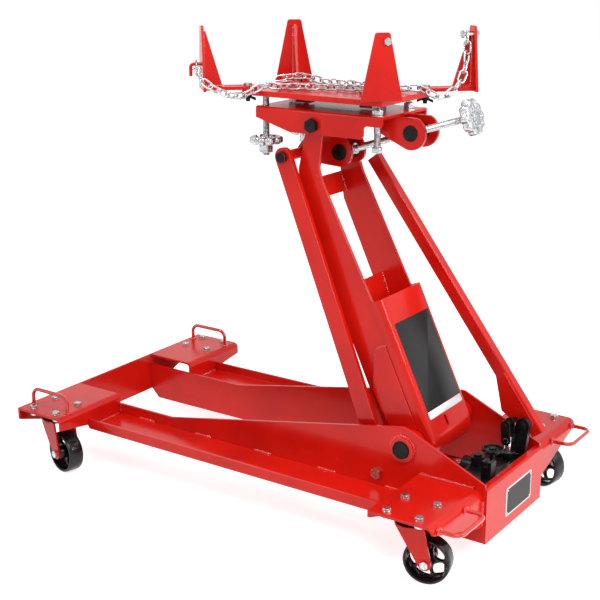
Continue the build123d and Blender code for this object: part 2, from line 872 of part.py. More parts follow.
knob_start = screw_reach - tilt_knob_t / 2
knob_end = screw_reach + tilt_knob_t / 2
tilt_hub = (on_screw(knob_start - 10), 15, 0)
tilt_knob = star_knob(on_screw(knob_start), on_screw(knob_end), tilt_knob_r, *tilt_hub)
keep("tilt_knob", tilt_knob - rod(on_screw(0), on_screw(screw_reach), screw_r + weld_gap))

# Tilting head
channel_side = [
    (channel_front, channel_top),
    (channel_front, channel_top - channel_nose - 2),
    (-62, channel_top - channel_depth),
    (channel_step, channel_top - channel_depth),
    (channel_step, channel_top - channel_tail),
    (channel_rear, channel_top - channel_tail),
    (channel_rear, channel_top),
]
side_face = outline(
    [head_point(*p) for p in channel_side],
    {
        head_point(*channel_side[2]): 25,
        head_point(*channel_side[3]): 10,
        head_point(*channel_side[4]): 10,
        head_point(*channel_side[5]): 6,
    },
)
channel = across(side_face, -channel_half_w, channel_half_w)
top_edges = channel.faces().sort_by(Axis.Z)[-1].edges().filter_by(Axis.X)
channel = fillet(top_edges, channel_t)
channel -= Pos(head_x, 0, head_z + channel_top - channel_t - 100) * Box(900, 2 * channel_inner_y, 200)
channel -= rod((head_x, -head_end_y, head_z), (head_x, head_end_y, head_z), head_shaft_r + running)


def head_pins(dx, y, r):
    x = head_x + dx
    return [upward(Pos(x, side * y) * Circle(r), head_z, head_z + channel_top + 1) for side in (-1, 1)]


for hole in head_pins(side_screw_dx, side_screw_y, side_screw_r + running):
    channel -= hole
for hole in head_pins(hold_down_dx, hold_down_y, hold_down_r + weld_gap):
    channel -= hole
ear_root_low = channel_top - channel_tail - 24
ear_root = [head_point(ear_root_x, channel_top - channel_t), head_point(ear_root_x, ear_root_low)]
ear_face = make_hull([*Line(*ear_root).edges(), *disc(*upper_trunnion, upper_ear_r).edges()])
ear_face -= disc(*upper_trunnion, upper_trunnion_r + running)
ear_cap_z = head_z + channel_top - channel_t
ear = across(ear_face, ear_inner_y, ear_outer_y)
ear -= Pos(head_x, 0, ear_cap_z + 100) * Box(900, 900, 200)
keep("head_channel", channel, both_sides(ear))

channel_top_z = head_z + channel_top
roll_z = head_z + roll_axis
roll_block_h = roll_axis - channel_top + 7
roll_inner_x = roll_block_x - roll_block_l / 2
roll_outer_x = roll_block_x + roll_block_l / 2
block_face = Pos(0, channel_top_z + roll_block_h / 2) * Rectangle(roll_block_w, roll_block_h)
block_face -= Pos(0, roll_z) * Circle(roll_shaft_r + weld_gap)
roll_half = roll_outer_x + 3
roll_shaft = rod((head_x - roll_half, 0, roll_z), (head_x + roll_half, 0, roll_z), roll_shaft_r)
keep(
    "roll_pivot",
    along(block_face, head_x - roll_outer_x, head_x - roll_inner_x),
    along(block_face, head_x + roll_inner_x, head_x + roll_outer_x),
    roll_shaft,
)


def hold_down(side):
    x, y = head_x + hold_down_dx, side * hold_down_y
    top, low = head_z + hold_down_top, head_z + hold_down_bottom
    return (
        rod((x, y, low), (x, y, top), hold_down_r)
        + hexagon((x, y, channel_top_z), (x, y, channel_top_z + hold_down_head_h), hold_down_af)
        + hexagon((x, y, low), (x, y, low + hold_down_head_h), hold_down_af)
    )


keep("hold_down_bolts", hold_down(-1), hold_down(1))

# Saddle
saddle_z = head_z + saddle_top
saddle_under_z = saddle_z - saddle_t
saddle_corners = {
    "front_left": (saddle_front, -saddle_half_w, 225),
    "rear_left": (saddle_rear, -saddle_half_w, -45),
    "front_right": (saddle_front, saddle_half_w, 135),
    "rear_right": (saddle_rear, saddle_half_w, 45),
}


def beyond(place, distance):
    """A place on a saddle corner's diagonal."""
    dx, y, heading = saddle_corners[place]
    a = math.radians(heading)
    return (head_x + dx + distance * math.cos(a), y + distance * math.sin(a))


saddle_l = saddle_rear - saddle_front
saddle_mid_x = head_x + (saddle_rear + saddle_front) / 2
saddle_face = Pos(saddle_mid_x, 0) * RectangleRounded(saddle_l, 2 * saddle_half_w, 6)
saddle = upward(saddle_face, saddle_under_z, saddle_z)
for place, distance in clamp_out.items():
    hole = Pos(*beyond(place, distance)) * Circle(clamp_r + weld_gap)
    saddle -= upward(hole, saddle_under_z - 1, saddle_z + 1)
keep("saddle_plate", saddle)

lug_low = roll_z - roll_lug_w / 2
lug_face = Pos(0, (saddle_under_z + lug_low) / 2) * Rectangle(roll_lug_w, saddle_under_z - lug_low)
lug_face -= Pos(0, roll_z) * Circle(roll_shaft_r + running)
lug_end = roll_inner_x - float_gap
lug_start = lug_end - roll_lug_l
keep(
    "saddle_lugs",
    along(lug_face, head_x - lug_end, head_x - lug_start),
    along(lug_face, head_x + lug_start, head_x + lug_end),
)


def side_screw(side):
    x, y = head_x + side_screw_dx, side * side_screw_y
    tip = saddle_under_z - side_tip_gap
    low = head_z + side_screw_bottom
    screw = rod((x, y, low), (x, y, tip - side_tip_h), side_screw_r)
    return screw + rod((x, y, low), (x, y, tip), side_tip_r)


def side_knob(side):
    x, y = head_x + side_screw_dx, side * side_screw_y
    top = head_z + side_knob_top
    under = top - side_knob_t
    return star_knob(
        (x, y, under), (x, y, top), side_knob_r, (x, y, under - side_knob_hub_h), side_knob_hub_r, side_screw_r + running
    )


for name, side in (("left", -1), ("right", 1)):
    keep(name + "_side_screw", side_screw(side))
    keep(name + "_side_knob", side_knob(side))


def clamp_bolt(place):
    """Clamp bolt through a foot's slot into the saddle, or through it to a wing nut."""
    x, y = beyond(place, clamp_out[place])
    head = saddle_z + foot_t + 2 * slide_gap
    winged = place in winged_corners
    low = saddle_under_z - (wing_h if winged else 0)
    bolt = rod((x, y, low), (x, y, head), clamp_r)
    bolt += rod((x, y, head), (x, y, head + clamp_head_h), clamp_head_r)
    if not winged:
        return bolt
    bolt += rod((x, y, saddle_under_z - 8), (x, y, saddle_under_z), clamp_r + 4)
    wing = Polygon((0, -5), (wing_span / 2, -wing_h + 2), (wing_span / 2, -wing_h + 8), (0, -1), align=None)
    wing_plate = across(wing, -wing_t / 2, wing_t / 2)
    wings = wing_plate + Rot(0, 0, 180) * wing_plate
    return bolt + Pos(x, y, saddle_under_z) * Rot(0, 0, 20) * wings


keep("clamp_bolts", *[clamp_bolt(place) for place in clamp_out])


def corner_bracket():
    """Upright on its slotted foot; the outer face stands at x = 0 and faces +X."""
    half_base, half_tip = bracket_base / 2, bracket_tip / 2
    crown = [(half_tip, bracket_h), (-half_tip, bracket_h)]
    upright = outline([(-half_base, 0), (half_base, 0), *crown], {p: 6 for p in crown})
    body = along(upright, -bracket_t, 0)
    foot = Pos(-foot_l / 2, 0) * Rectangle(foot_l, foot_w)
    slot_l = slot_end - slot_start
    foot -= Pos(-(slot_start + slot_end) / 2, 0) * SlotOverall(slot_l, slot_w)
    body += upward(foot, 0, foot_t)
    brace = [
        (-bracket_t, foot_t),
        (-bracket_t - brace_depth, foot_t),
        (-bracket_t - brace_tip, brace_h),
        (-bracket_t, brace_h),
    ]
    return body + across(outline(brace), -bracket_t / 2, bracket_t / 2)


def hook(side):
    y = side * hook_side
    tip = (hook_out, y, hook_h - hook_down)
    return bent_rod([(0, y, hook_h), (hook_out, y, hook_h), tip], 7, hook_rod_r)


def chain_bolt(side):
    y = side * hook_side * 0.8
    bolt = rod((-chain_bolt_l * 0.8, y, chain_bolt_h), (0, y, chain_bolt_h), chain_bolt_r)
    bolt += hexagon((0, y, chain_bolt_h), (6, y, chain_bolt_h), chain_bolt_af)
    nut_x = -chain_bolt_l * 0.8
    return bolt + hexagon((nut_x - 6, y, chain_bolt_h), (nut_x, y, chain_bolt_h), chain_bolt_af)


def bracket_place(place):
    x, y = beyond(place, bracket_out[place])
    return Pos(x, y, saddle_z + slide_gap) * Rot(0, 0, saddle_corners[place][2])


for place, side in (("front_left", 1), ("front_right", -1)):
    keep(place + "_bracket", bracket_place(place) * (corner_bracket() + hook(side)))
for place, side in (("rear_left", 1), ("rear_right", -1)):
    bolt = chain_bolt(side)
    bracket = corner_bracket()
    y = side * hook_side * 0.8
    bracket -= rod((-bracket_t - 1, y, chain_bolt_h), (1, y, chain_bolt_h), chain_bolt_r + weld_gap)
    keep(place + "_bracket", bracket_place(place) * bracket, bracket_place(place) * bolt)

# Tie-down chains: each route is given in a bracket's own directions or from the head pivot
chain_lie = saddle_top + chain_height


def near_bracket(place, points):
    """Route points given along, across and above a bracket."""
    x, y = beyond(place, bracket_out[place])
    a = math.radians(saddle_corners[place][2])
    return [
        (x + p * math.cos(a) - q * math.sin(a), y + p * math.sin(a) + q * math.cos(a), saddle_z + slide_gap + h)
        for p, q, h in points
    ]


def on_saddle(points):
    return [(head_x + dx, y, head_z + chain_lie + rise) for dx, y, rise in points]


left_chain = [
    *near_bracket(
        "front_left",
        [
            (12, 18.2, 54.8),
            (12, 36, 45),
            (7, 54, 32),
            (-8, 65, 18),
            (-32, 64, 4),
            (-58, 57, -6),
            (-84, 48, -8),
            (-106, 44, 0),
            (-126, 43, 9),
            (-144, 42, 12),
        ],
    ),
    *on_saddle([(-100, -78, 0), (-50, -50, 0), (0, -26, 0), (52, -4, 0), (98, 9, 0)]),
    *near_bracket(
        "rear_left",
        [
            (-112, 46, chain_height),
            (-84, 46, chain_height),
            (-56, 44, 15),
            (-36, 36, 32),
            (-26, 26, 58),
            (-21, 17, 88),
            (-20, 11.2, 115.6),
        ],
    ),
]
right_chain = [
    *near_bracket(
        "rear_right",
        [
            (-20, -11.2, 115.6),
            (-21, -17, 88),
            (-26, -26, 58),
            (-38, -36, 28),
            (-58, -40, 4),
            (-82, -39, -8),
            (-106, -36, -1),
            (-126, -34, 9),
            (-146, -33, 12),
        ],
    ),
    *on_saddle(
        [
            (142, 37, 0),
            (112, 35, 0),
            (70, 44, 0),
            (20, 54, 0),
            (-30, 58, 0),
            (-72, 55, 1),
            (-100, 48, 7.5),
            (-124, 38, 10),
            (-146, 28, 8),
            (-166, 20, 4),
        ]
    ),
]


def chain_link():
    """One link, lying along X in the XY plane."""
    half_l = (chain_pitch + chain_play) / 2 + chain_wire
    half_w = chain_half_w
    ring = Polygon(*eight(half_l, half_w, half_w * 0.55), align=None)
    hole = eight(half_l - chain_wire, half_w - chain_wire, (half_w - chain_wire) * 0.6)
    ring -= Polygon(*hole, align=None)
    return extrude(ring, chain_wire / 2, both=True)


def eight(a, b, c):
    """Corners of a rectangle with its corners cut off."""
    return [(a, b - c), (a - c, b), (c - a, b), (-a, b - c), (-a, c - b), (c - a, -b), (a - c, -b), (a, c - b)]


def chain(points, hooked_ends):
    """Links along a route; they hang square from a hooked end and lie askew on the saddle."""
    route = Spline(*points)
    link = chain_link()
    count = 2 * math.ceil(route.length / chain_pitch / 2)
    links = []
    for i in range(count + 1):
        where = i * route.length / count
        place = route.position_at(where, position_mode=PositionMode.LENGTH)
        heading = route.tangent_at(where, position_mode=PositionMode.LENGTH)
        if saddle_front < place.X - head_x < saddle_rear and abs(place.Y) < saddle_half_w:
            place = Vector(place.X, place.Y, max(place.Z, head_z + chain_lie))
        level = Vector(heading.Y, -heading.X, 0).normalized()
        from_hook = min(i, count - i) if hooked_ends == 2 else i
        roll = min(from_hook, 3) * 15 + 90 * (i % 2)
        flat = Plane(place, x_dir=heading, z_dir=level) * Rot(roll, 0, 0)
        links.append(flat * link)
    return links


keep("tie_down_chains", *chain(left_chain, 2), *chain(right_chain, 1))

# Hydraulic unit
block = Pos((block_front_x + web_rear_x) / 2, 0, (block_bottom_z + block_top_z) / 2) * Box(
    web_rear_x - block_front_x, 2 * block_half_w, block_top_z - block_bottom_z
)
block -= rod((block_front_x - 1, 0, ram_z), (bore_end_x, 0, ram_z), ram_r + running)
piston_low_z = block_top_z - piston_depth
piston_bore = Pos(piston_x, piston_y) * Circle(piston_r + running)
valve_bore = Pos(valve_x, valve_y) * Circle(valve_stem_r + running)
block -= upward(piston_bore, piston_low_z - 4, block_top_z + 1)
block -= upward(valve_bore, block_top_z - valve_depth, block_top_z + 1)
gland = rod((piston_x, piston_y, block_top_z), (piston_x, piston_y, block_top_z + gland_h), gland_r)
gland -= upward(piston_bore, block_top_z, block_top_z + gland_h)
post_top = block_top_z + post_h
post = upward(Pos(post_x, post_y) * Rectangle(post_w, post_w), block_top_z, post_top)
notch = Pos(post_x, post_y) * Rectangle(post_notch_w, 2 * post_w)
post -= upward(notch, post_top - post_notch_d, post_top + 1)
keep("pump_block", block, gland, post)
barrel = rod((barrel_front_x, 0, ram_z), (block_front_x, 0, ram_z), barrel_r)
keep("lift_cylinder", barrel - rod((barrel_front_x, 0, ram_z), (block_front_x, 0, ram_z), ram_r + running))
keep(
    "filler_plug",
    hexagon((plug_x, plug_y, block_top_z), (plug_x, plug_y, block_top_z + plug_h), plug_af)
    + rod((plug_x, plug_y, block_top_z), (plug_x, plug_y, block_top_z + plug_h + 5), plug_af * 0.3),
)
ram_x = crank_x + roller_r + ram_gap
keep(
    "ram",
    rod((ram_x, 0, ram_z), (ram_x + ram_head_t, 0, ram_z), ram_head_r)
    + rod((ram_x, 0, ram_z), (ram_x + ram_l, 0, ram_z), ram_r),
)
valve_top = block_top_z + valve_stem_h
valve = rod((valve_x, valve_y, block_top_z - valve_depth + 2), (valve_x, valve_y, valve_top), valve_stem_r)
valve_wheel = Pos(valve_x, valve_y) * star(valve_knob_r, 8, 2.5)
valve += upward(valve_wheel, valve_top - valve_knob_t / 2, valve_top + valve_knob_t / 2)
keep("release_valve", valve)

# Pump lever with its stand, yoke and piston
stand_outer_y = stand_inner_y + stand_t
stand_base = Line((stand_foot[0], block_top_z), (stand_foot[1], block_top_z))
stand_face = make_hull([*stand_base.edges(), *disc(fulcrum_x, fulcrum_z, stand_r).edges()])
stand_face -= disc(fulcrum_x, fulcrum_z, fulcrum_r + weld_gap)
lever_outer_y = lever_inner_y + lever_w
bolt_head_y = lever_outer_y + float_gap
fulcrum_nut = (fulcrum_x, stand_inner_y - fulcrum_head_h, fulcrum_z)
fulcrum_head = (fulcrum_x, bolt_head_y + fulcrum_head_h, fulcrum_z)
fulcrum_bolt = rod(fulcrum_nut, fulcrum_head, fulcrum_r)
fulcrum_bolt += hexagon((fulcrum_x, bolt_head_y, fulcrum_z), fulcrum_head, fulcrum_af)
fulcrum_bolt += hexagon(fulcrum_nut, (fulcrum_x, stand_inner_y, fulcrum_z), fulcrum_af)
keep("pump_stand", across(stand_face, stand_inner_y, stand_outer_y), fulcrum_bolt)


def lever_point(u, v):
    dx, dz = turned(u, v, lever_angle)
    return (fulcrum_x + dx, fulcrum_z + dz)


half_bar = lever_depth / 2
bar_low, bar_high = lever_offset - half_bar, lever_offset + half_bar
bar = outline(
    [
        lever_point(-lever_down, bar_low),
        lever_point(lever_up, bar_low),
        lever_point(lever_up, bar_high),
        lever_point(-lever_down, bar_high),
    ]
)
lever = across(bar, lever_inner_y, lever_outer_y)
lever = chamfer(lever.edges().group_by(SortBy.LENGTH)[-1], 2.5)
yoke_top = (fulcrum_x + yoke_dx, fulcrum_z + yoke_dz)
cheek = spanned(
    disc(fulcrum_x, fulcrum_z, stand_r),
    disc(fulcrum_x + cheek_tip[0], fulcrum_z + cheek_tip[1], cheek_tip_r),
    disc(*lever_point(cheek_top, lever_offset), cheek_tip_r),
)
lever += across(cheek, lever_inner_y - cheek_t, lever_inner_y)
lever -= rod((fulcrum_x, 0, fulcrum_z), (fulcrum_x, 2 * lever_outer_y, fulcrum_z), fulcrum_r + running)
yoke_outer = yoke_inner + yoke_t
yoke_end_y = piston_y - yoke_outer - 3
lever += rod((yoke_top[0], yoke_end_y, yoke_top[1]), (yoke_top[0], lever_inner_y, yoke_top[1]), yoke_pin_r)
keep("pump_lever", lever)

yoke_lean = yoke_top[0] - piston_x
piston_pin_z = yoke_top[1] - math.sqrt(yoke_drop**2 - yoke_lean**2)
yoke_foot = (piston_x, piston_pin_z)
yoke_face = spanned(disc(*yoke_top, yoke_eye_r), disc(*yoke_foot, yoke_eye_r))
yoke_face -= disc(*yoke_top, yoke_pin_r + running)
yoke_face -= disc(*yoke_foot, yoke_pin_r + yoke_play)
keep(
    "yoke_link",
    across(yoke_face, piston_y - yoke_outer, piston_y - yoke_inner),
    across(yoke_face, piston_y + yoke_inner, piston_y + yoke_outer),
)
piston = rod((piston_x, piston_y, piston_low_z), (piston_x, piston_y, piston_pin_z + 8), piston_r)
pin_half = yoke_outer + 2
piston += across(disc(piston_x, piston_pin_z, yoke_pin_r), piston_y - pin_half, piston_y + pin_half)
keep("pump_piston", piston)

os.makedirs("parts", exist_ok=True)
for name, shape in pieces.items():
    export_step(shape, "parts/" + name + ".step")
print(len(pieces), "pieces written")
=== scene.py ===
import math

import bmesh
import bpy
from mathutils import Matrix, Vector


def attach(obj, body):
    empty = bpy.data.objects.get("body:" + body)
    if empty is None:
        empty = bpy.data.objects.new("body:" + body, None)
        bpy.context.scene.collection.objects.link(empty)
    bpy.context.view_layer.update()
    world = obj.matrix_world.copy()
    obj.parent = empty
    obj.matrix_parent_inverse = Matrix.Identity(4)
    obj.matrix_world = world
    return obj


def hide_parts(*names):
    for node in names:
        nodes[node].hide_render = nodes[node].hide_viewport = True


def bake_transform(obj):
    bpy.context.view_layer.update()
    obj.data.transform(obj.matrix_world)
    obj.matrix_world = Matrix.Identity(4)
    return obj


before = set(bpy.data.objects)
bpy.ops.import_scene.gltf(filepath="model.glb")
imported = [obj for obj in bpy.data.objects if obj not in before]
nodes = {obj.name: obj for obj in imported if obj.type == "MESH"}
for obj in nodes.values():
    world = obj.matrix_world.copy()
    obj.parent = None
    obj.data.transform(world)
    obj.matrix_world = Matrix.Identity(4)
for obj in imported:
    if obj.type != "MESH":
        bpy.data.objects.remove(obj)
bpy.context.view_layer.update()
print("frame loaded:", len(nodes), "nodes")

# Sizes that the dressing shares with the solids, in metres
jack = dict(
    headX=0.092898, headZ=0.884944, saddleTop=0.066, saddleT=0.012,
    saddleFront=-0.187, saddleRear=0.178, saddleHalf=0.105,
    armX=0.362, armZ=0.207, armAngle=math.radians(111.65), armInner=0.080, armOuter=0.088,
    webOuter=0.141, seatTop=0.158, shaftEnd=0.152, coverBase=0.049, coverSlope=0.066,
    frontSwivel=-0.537, rearSwivel=0.474, swivelY=0.2955, boltSquare=0.076, trail=0.037,
    wheelR=0.0508, rearPlate=0.568, blockTop=0.1575,
)
headX, headZ = jack["headX"], jack["headZ"]
saddleZ = headZ + jack["saddleTop"]


# Node arithmetic: a socket with operators, and one way to add any other node
def operator(operation):
    # An operator's two methods: with the wire first, and reflected
    return (lambda wire, other: wire.maths(operation, wire, other),
            lambda wire, other: wire.maths(operation, other, wire))


class Wire:
    def __init__(self, tree, socket):
        self.tree, self.socket = tree, socket

    __add__, __radd__ = operator("ADD")
    __sub__, __rsub__ = operator("SUBTRACT")
    __mul__, __rmul__ = operator("MULTIPLY")
    __truediv__, __rtruediv__ = operator("DIVIDE")

    def maths(self, operation, a, b):
        return addNode(self.tree, "ShaderNodeMath", {0: a, 1: b}, operation=operation)

    def into(self, node, key):
        self.tree.links.new(self.socket, node.inputs[key])

    def other(self, output):
        return Wire(self.tree, self.socket.node.outputs[output])

    def between(self, low, high):  # 0 below low, 1 above high, smooth on the way
        return addNode(self.tree, "ShaderNodeMapRange", {"Value": self, 1: low, 2: high},
                       "Result", interpolation_type="SMOOTHSTEP")

    def over(self, low, high):  # stretched from 0..1 to low..high
        return self * (high - low) + low


def addNode(tree, kind, values=None, output=0, **settings):
    node = tree.nodes.new(kind)
    for key, value in settings.items():
        setattr(node, key, value)
    for key, value in (values or {}).items():
        if isinstance(value, Wire):
            value.into(node, key)
        else:
            node.inputs[key].default_value = value
    return Wire(tree, node.outputs[output])


def newGroup(name, **sockets):
    group = bpy.data.node_groups.new(name, "GeometryNodeTree")
    for label, kind in {"Geometry": "Geometry", **sockets}.items():
        group.interface.new_socket(label, in_out="INPUT", socket_type="NodeSocket" + kind)
    group.interface.new_socket("Geometry", in_out="OUTPUT", socket_type="NodeSocketGeometry")
    start = group.nodes.new("NodeGroupInput")
    return group, {socket.name: Wire(group, socket) for socket in start.outputs if socket.name}


def copies(group, points, item, turn):
    row = addNode(group, "GeometryNodeInstanceOnPoints",
                  {"Points": points, "Instance": item, "Rotation": turn})
    return addNode(group, "GeometryNodeRealizeInstances", {"Geometry": row})


def endGroup(group, geometry):
    geometry.into(group.nodes.new("NodeGroupOutput"), 0)
    return group


def paintGroup(group, geometry, finish, smooth=None):
    # Ends a group with its material, and with its shading unless that is left as it comes
    if smooth is not None:
        geometry = addNode(group, "GeometryNodeSetShadeSmooth",
                           {"Geometry": geometry, "Shade Smooth": smooth})
    painted = addNode(group, "GeometryNodeSetMaterial", {"Geometry": geometry, "Material": finish})
    return endGroup(group, painted)


def noise(tree, where, scale, detail=2.0, rough=0.5):
    return addNode(tree, "ShaderNodeTexNoise",
                   {"Vector": where, "Scale": scale, "Detail": detail, "Roughness": rough}, "Fac")


def blendColours(tree, amount, first, second):
    return addNode(tree, "ShaderNodeMix", {0: amount, 6: first, 7: second}, 2, data_type="RGBA")


def newMaterial(name, fixed):
    material = bpy.data.materials.new(name)
    material.use_nodes = True
    tree = material.node_tree
    shader = tree.nodes["Principled BSDF"]
    for key, value in fixed.items():
        shader.inputs[key].default_value = value
    where = addNode(tree, "ShaderNodeTexCoord", output="Object")
    return material, tree, shader, where


# Finishes. A noise is given as scale, detail and roughness, a bump as strength and depth
def makeFinish(name, fixed, cloud, rough, tones=None, drift=None, crystals=None, mixed=None,
               stain=None, stained=None, stainShare=None, grain=None, bump=None):
    # The cloud sets the roughness and the place of stains. It also mixes the two tones, unless a
    # drift or crystals do
    material, tree, shader, where = newMaterial(name, fixed)
    cloud = noise(tree, where, *cloud)
    cloud.over(*rough).into(shader, "Roughness")
    if tones:
        share = noise(tree, where, *drift) if drift else cloud
        if crystals:
            share = addNode(tree, "ShaderNodeTexVoronoi", {"Vector": where, "Scale": crystals},
                            "Distance", feature="SMOOTH_F1")
        colour = blendColours(tree, share.between(*mixed) if mixed else share, *tones)
        if stain:
            share = cloud.between(*stained) * stainShare
            colour = blendColours(tree, share, colour, stain)
        colour.into(shader, "Base Color")
    if grain:
        raised = {"Height": noise(tree, where, *grain), "Strength": bump[0], "Distance": bump[1]}
        addNode(tree, "ShaderNodeBump", raised, "Normal").into(shader, "Normal")
    return material


enamel = dict(  # sprayed gloss: slow colour drift, a little dull dust, orange peel
    fixed={"Coat Weight": 0.10, "Coat Roughness": 0.06, "Specular IOR Level": 0.22},
    cloud=(38.0, 4.0, 0.6), rough=(0.16, 0.32), drift=(5.0, 3.0), mixed=(0.2, 0.7),
    tones=((0.52, 0.005, 0.003, 1), (0.72, 0.011, 0.004, 1)),
    stain=(0.70, 0.09, 0.07, 1), stained=(0.62, 0.82), stainShare=0.12,
    grain=(900.0, 1.0), bump=(0.35, 0.00006),
)
pooled = dict(enamel, fixed={**enamel["fixed"], "Coat Weight": 1.0}, rough=(0.03, 0.19))
plating = dict(  # crystal patches, faint straw passivation, fine handling marks
    fixed={"Metallic": 1.0}, cloud=(90.0, 4.0, 0.6), rough=(0.16, 0.41), crystals=240.0,
    mixed=(0.1, 0.7), tones=((0.64, 0.65, 0.66, 1), (0.34, 0.35, 0.37, 1)),
    stain=(0.56, 0.53, 0.44, 1), stained=(0.6, 0.85), stainShare=0.35,
    grain=(90.0, 4.0, 0.6), bump=(0.12, 0.0001),
)
polished = dict(fixed={"Metallic": 1.0, "Base Color": (0.78, 0.79, 0.80, 1)},
                cloud=(700.0, 2.0), rough=(0.04, 0.16), grain=(700.0, 2.0), bump=(0.05, 0.00002))
satin = dict(
    fixed={"Specular IOR Level": 0.16}, cloud=(60.0, 4.0, 0.6), rough=(0.20, 0.42),
    mixed=(0.45, 0.8), tones=((0.005, 0.005, 0.006, 1), (0.020, 0.019, 0.018, 1)),
    grain=(1400.0, 1.0), bump=(0.3, 0.00005),
)
sandCast = dict(
    fixed={"Specular IOR Level": 0.20, "Coat Weight": 0.15, "Coat Roughness": 0.08},
    cloud=(45.0, 3.0), rough=(0.16, 0.36), mixed=(0.4, 0.8),
    tones=((0.005, 0.005, 0.006, 1), (0.016, 0.016, 0.017, 1)),
    grain=(420.0, 3.0, 0.65), bump=(0.4, 0.00018),
)
matt = dict(
    fixed={"Specular IOR Level": 0.16}, cloud=(800.0, 1.0), rough=(0.30, 0.40),
    tones=((0.008, 0.008, 0.009, 1), (0.016, 0.016, 0.017, 1)),
)
paleFoil = dict(fixed={"Metallic": 0.35}, cloud=(900.0, 2.0), rough=(0.34, 0.46),
                tones=((0.74, 0.74, 0.74, 1), (0.84, 0.84, 0.84, 1)))
red, glossRed = makeFinish("redEnamel", **enamel), makeFinish("weldEnamel", **pooled)
black, cast = makeFinish("satinBlack", **satin), makeFinish("castBlack", **sandCast)
panel, foil = makeFinish("panelBlack", **matt), makeFinish("foilSilver", **paleFoil)
zinc, chrome = makeFinish("brightZinc", **plating), makeFinish("hardChrome", **polished)
print("finishes made")

# Dressing of the solids: welded, flattened, edge-rounded and smoothed by live modifiers
rounding = dict(plate=0.0011, handle=0.0004, lever=0.0030, steel=0.0008, bracket=0.0009,
                rod=0.0006, segments=2, merge=0.00002, flat=math.radians(0.6),
                sharp=math.radians(34), smooth=math.radians(32))


def smoothGroup():
    group, given = newGroup("smoothByAngle", Angle="Float")
    group.interface.items_tree["Angle"].default_value = rounding["smooth"]
    edge = addNode(group, "GeometryNodeInputMeshEdgeAngle", output="Unsigned Angle")
    steep = addNode(group, "FunctionNodeCompare", {0: edge, 1: given["Angle"]},
                    operation="GREATER_THAN")
    faces = addNode(group, "GeometryNodeSetShadeSmooth",
                    {"Geometry": given["Geometry"]}, domain="FACE")
    edges = addNode(group, "GeometryNodeSetShadeSmooth",
                    {"Geometry": faces, "Selection": steep, "Shade Smooth": False}, domain="EDGE")
    return endGroup(group, edges)


smoothing = smoothGroup()


def roundEdges(obj, width, rim):
    weld = obj.modifiers.new("weld", "WELD")
    weld.merge_threshold = rounding["merge"]
    flat = obj.modifiers.new("flatten", "DECIMATE")
    flat.decimate_type, flat.angle_limit = "DISSOLVE", rounding["flat"]
    edge = obj.modifiers.new("edges", "BEVEL")
    edge.width, edge.segments, edge.material = width, rounding["segments"], rim
    edge.limit_method, edge.angle_limit = "ANGLE", rounding["sharp"]
    smooth = obj.modifiers.new("smooth", "NODES")
    smooth.node_group = smoothing
    normals = obj.modifiers.new("normals", "WEIGHTED_NORMAL")
    normals.keep_sharp = True


def dress(names, material, width="steel", extra=()):
    # Extra pairs of a material and a test of a face's centre pick out bolts and pins
    for name in names:
        obj = nodes[name]
        obj.data.materials.clear()
        obj.data.materials.append(material)
        for index, (other, test) in enumerate(extra, start=1):
            obj.data.materials.append(other)
            for face in obj.data.polygons:
                if test(face.center):
                    face.material_index = index
        rim = -1
        if material == red:
            # Enamel pools along the edges and is glossier there
            obj.data.materials.append(glossRed)
            rim = len(obj.data.materials) - 1
        roundEdges(obj, rounding[width], rim)


leverPin = dict(x=0.514, z=0.233, reach=0.0065, insideY=0.1)
linkBoltY = -0.118  # the link bolt's head stands outside this


def onLeverPin(centre):
    away = math.hypot(centre.x - leverPin["x"], centre.z - leverPin["z"])
    return centre.y < leverPin["insideY"] and away < leverPin["reach"]


dress(["left_side_plate", "right_side_plate", "side_trays", "front_plate", "front_caster_seats",
       "rear_caster_seats", "rear_plate", "pivot_bosses", "left_arm_plate", "right_arm_plate",
       "arm_cross_plates", "arm_pivot_tube", "arm_cover", "arm_gussets", "arm_crank", "level_link",
       "head_channel", "saddle_plate", "saddle_lugs"], red, "plate")
dress(["front_handles", "rear_handles"], glossRed, "handle")
dress(["pump_lever"], red, "lever", [(black, onLeverPin)])
dress(["level_bracket"], red, "bracket", [(black, lambda c: c.y < linkBoltY)])
dress(["main_pivot_shaft", "head_shaft", "lower_trunnion", "upper_trunnion", "lift_cylinder",
       "yoke_link", "caster_plates", "filler_plug", "pump_block", "pump_stand"], black)
dress(["link_foot_bolt", "roll_pivot"], zinc)
dress(["clamp_bolts"], zinc, extra=[(black, lambda c: c.z < saddleZ - jack["saddleT"])])
dress(["pump_piston", "ram"], chrome, "rod")

# Corner brackets and casters stand at their own angles, so their bolts are found in their frames
corners = dict(  # the bracket's heading and how far out it stands, the caster fork's turn
    front_left=(225, 0.088, -13.5), rear_left=(-45, 0.002, 13.3),
    front_right=(135, 0.002, 8.0), rear_right=(45, 0.096, -12.0),
)
footGap = 0.0003
axleBolt = dict(axis=1, middle=0.0, half=0.0302, aside=jack["trail"], height=jack["wheelR"],
                reach=0.0105)
hookBolt = dict(axis=0, middle=-0.003, half=0.0031, aside=0.0096, height=0.122, reach=0.0092)


def cornerXY(name, front, rear, half):
    x = jack[front] if name.startswith("front") else jack[rear]
    return x, jack[half] if name.endswith("right") else -jack[half]


def bracketPlace(name):
    heading, out, _ = corners[name]
    a = math.radians(heading)
    x, y = cornerXY(name, "saddleFront", "saddleRear", "saddleHalf")
    foot = (headX + x + out * math.cos(a), y + out * math.sin(a), saddleZ + footGap)
    return Matrix.Translation(foot) @ Matrix.Rotation(a, 4, "Z")


def forkPlace(name):
    x, y = cornerXY(name, "frontSwivel", "rearSwivel", "swivelY")
    turn = math.radians(corners[name][2])
    return Matrix.Translation((x, y, 0)) @ Matrix.Rotation(turn, 4, "Z")


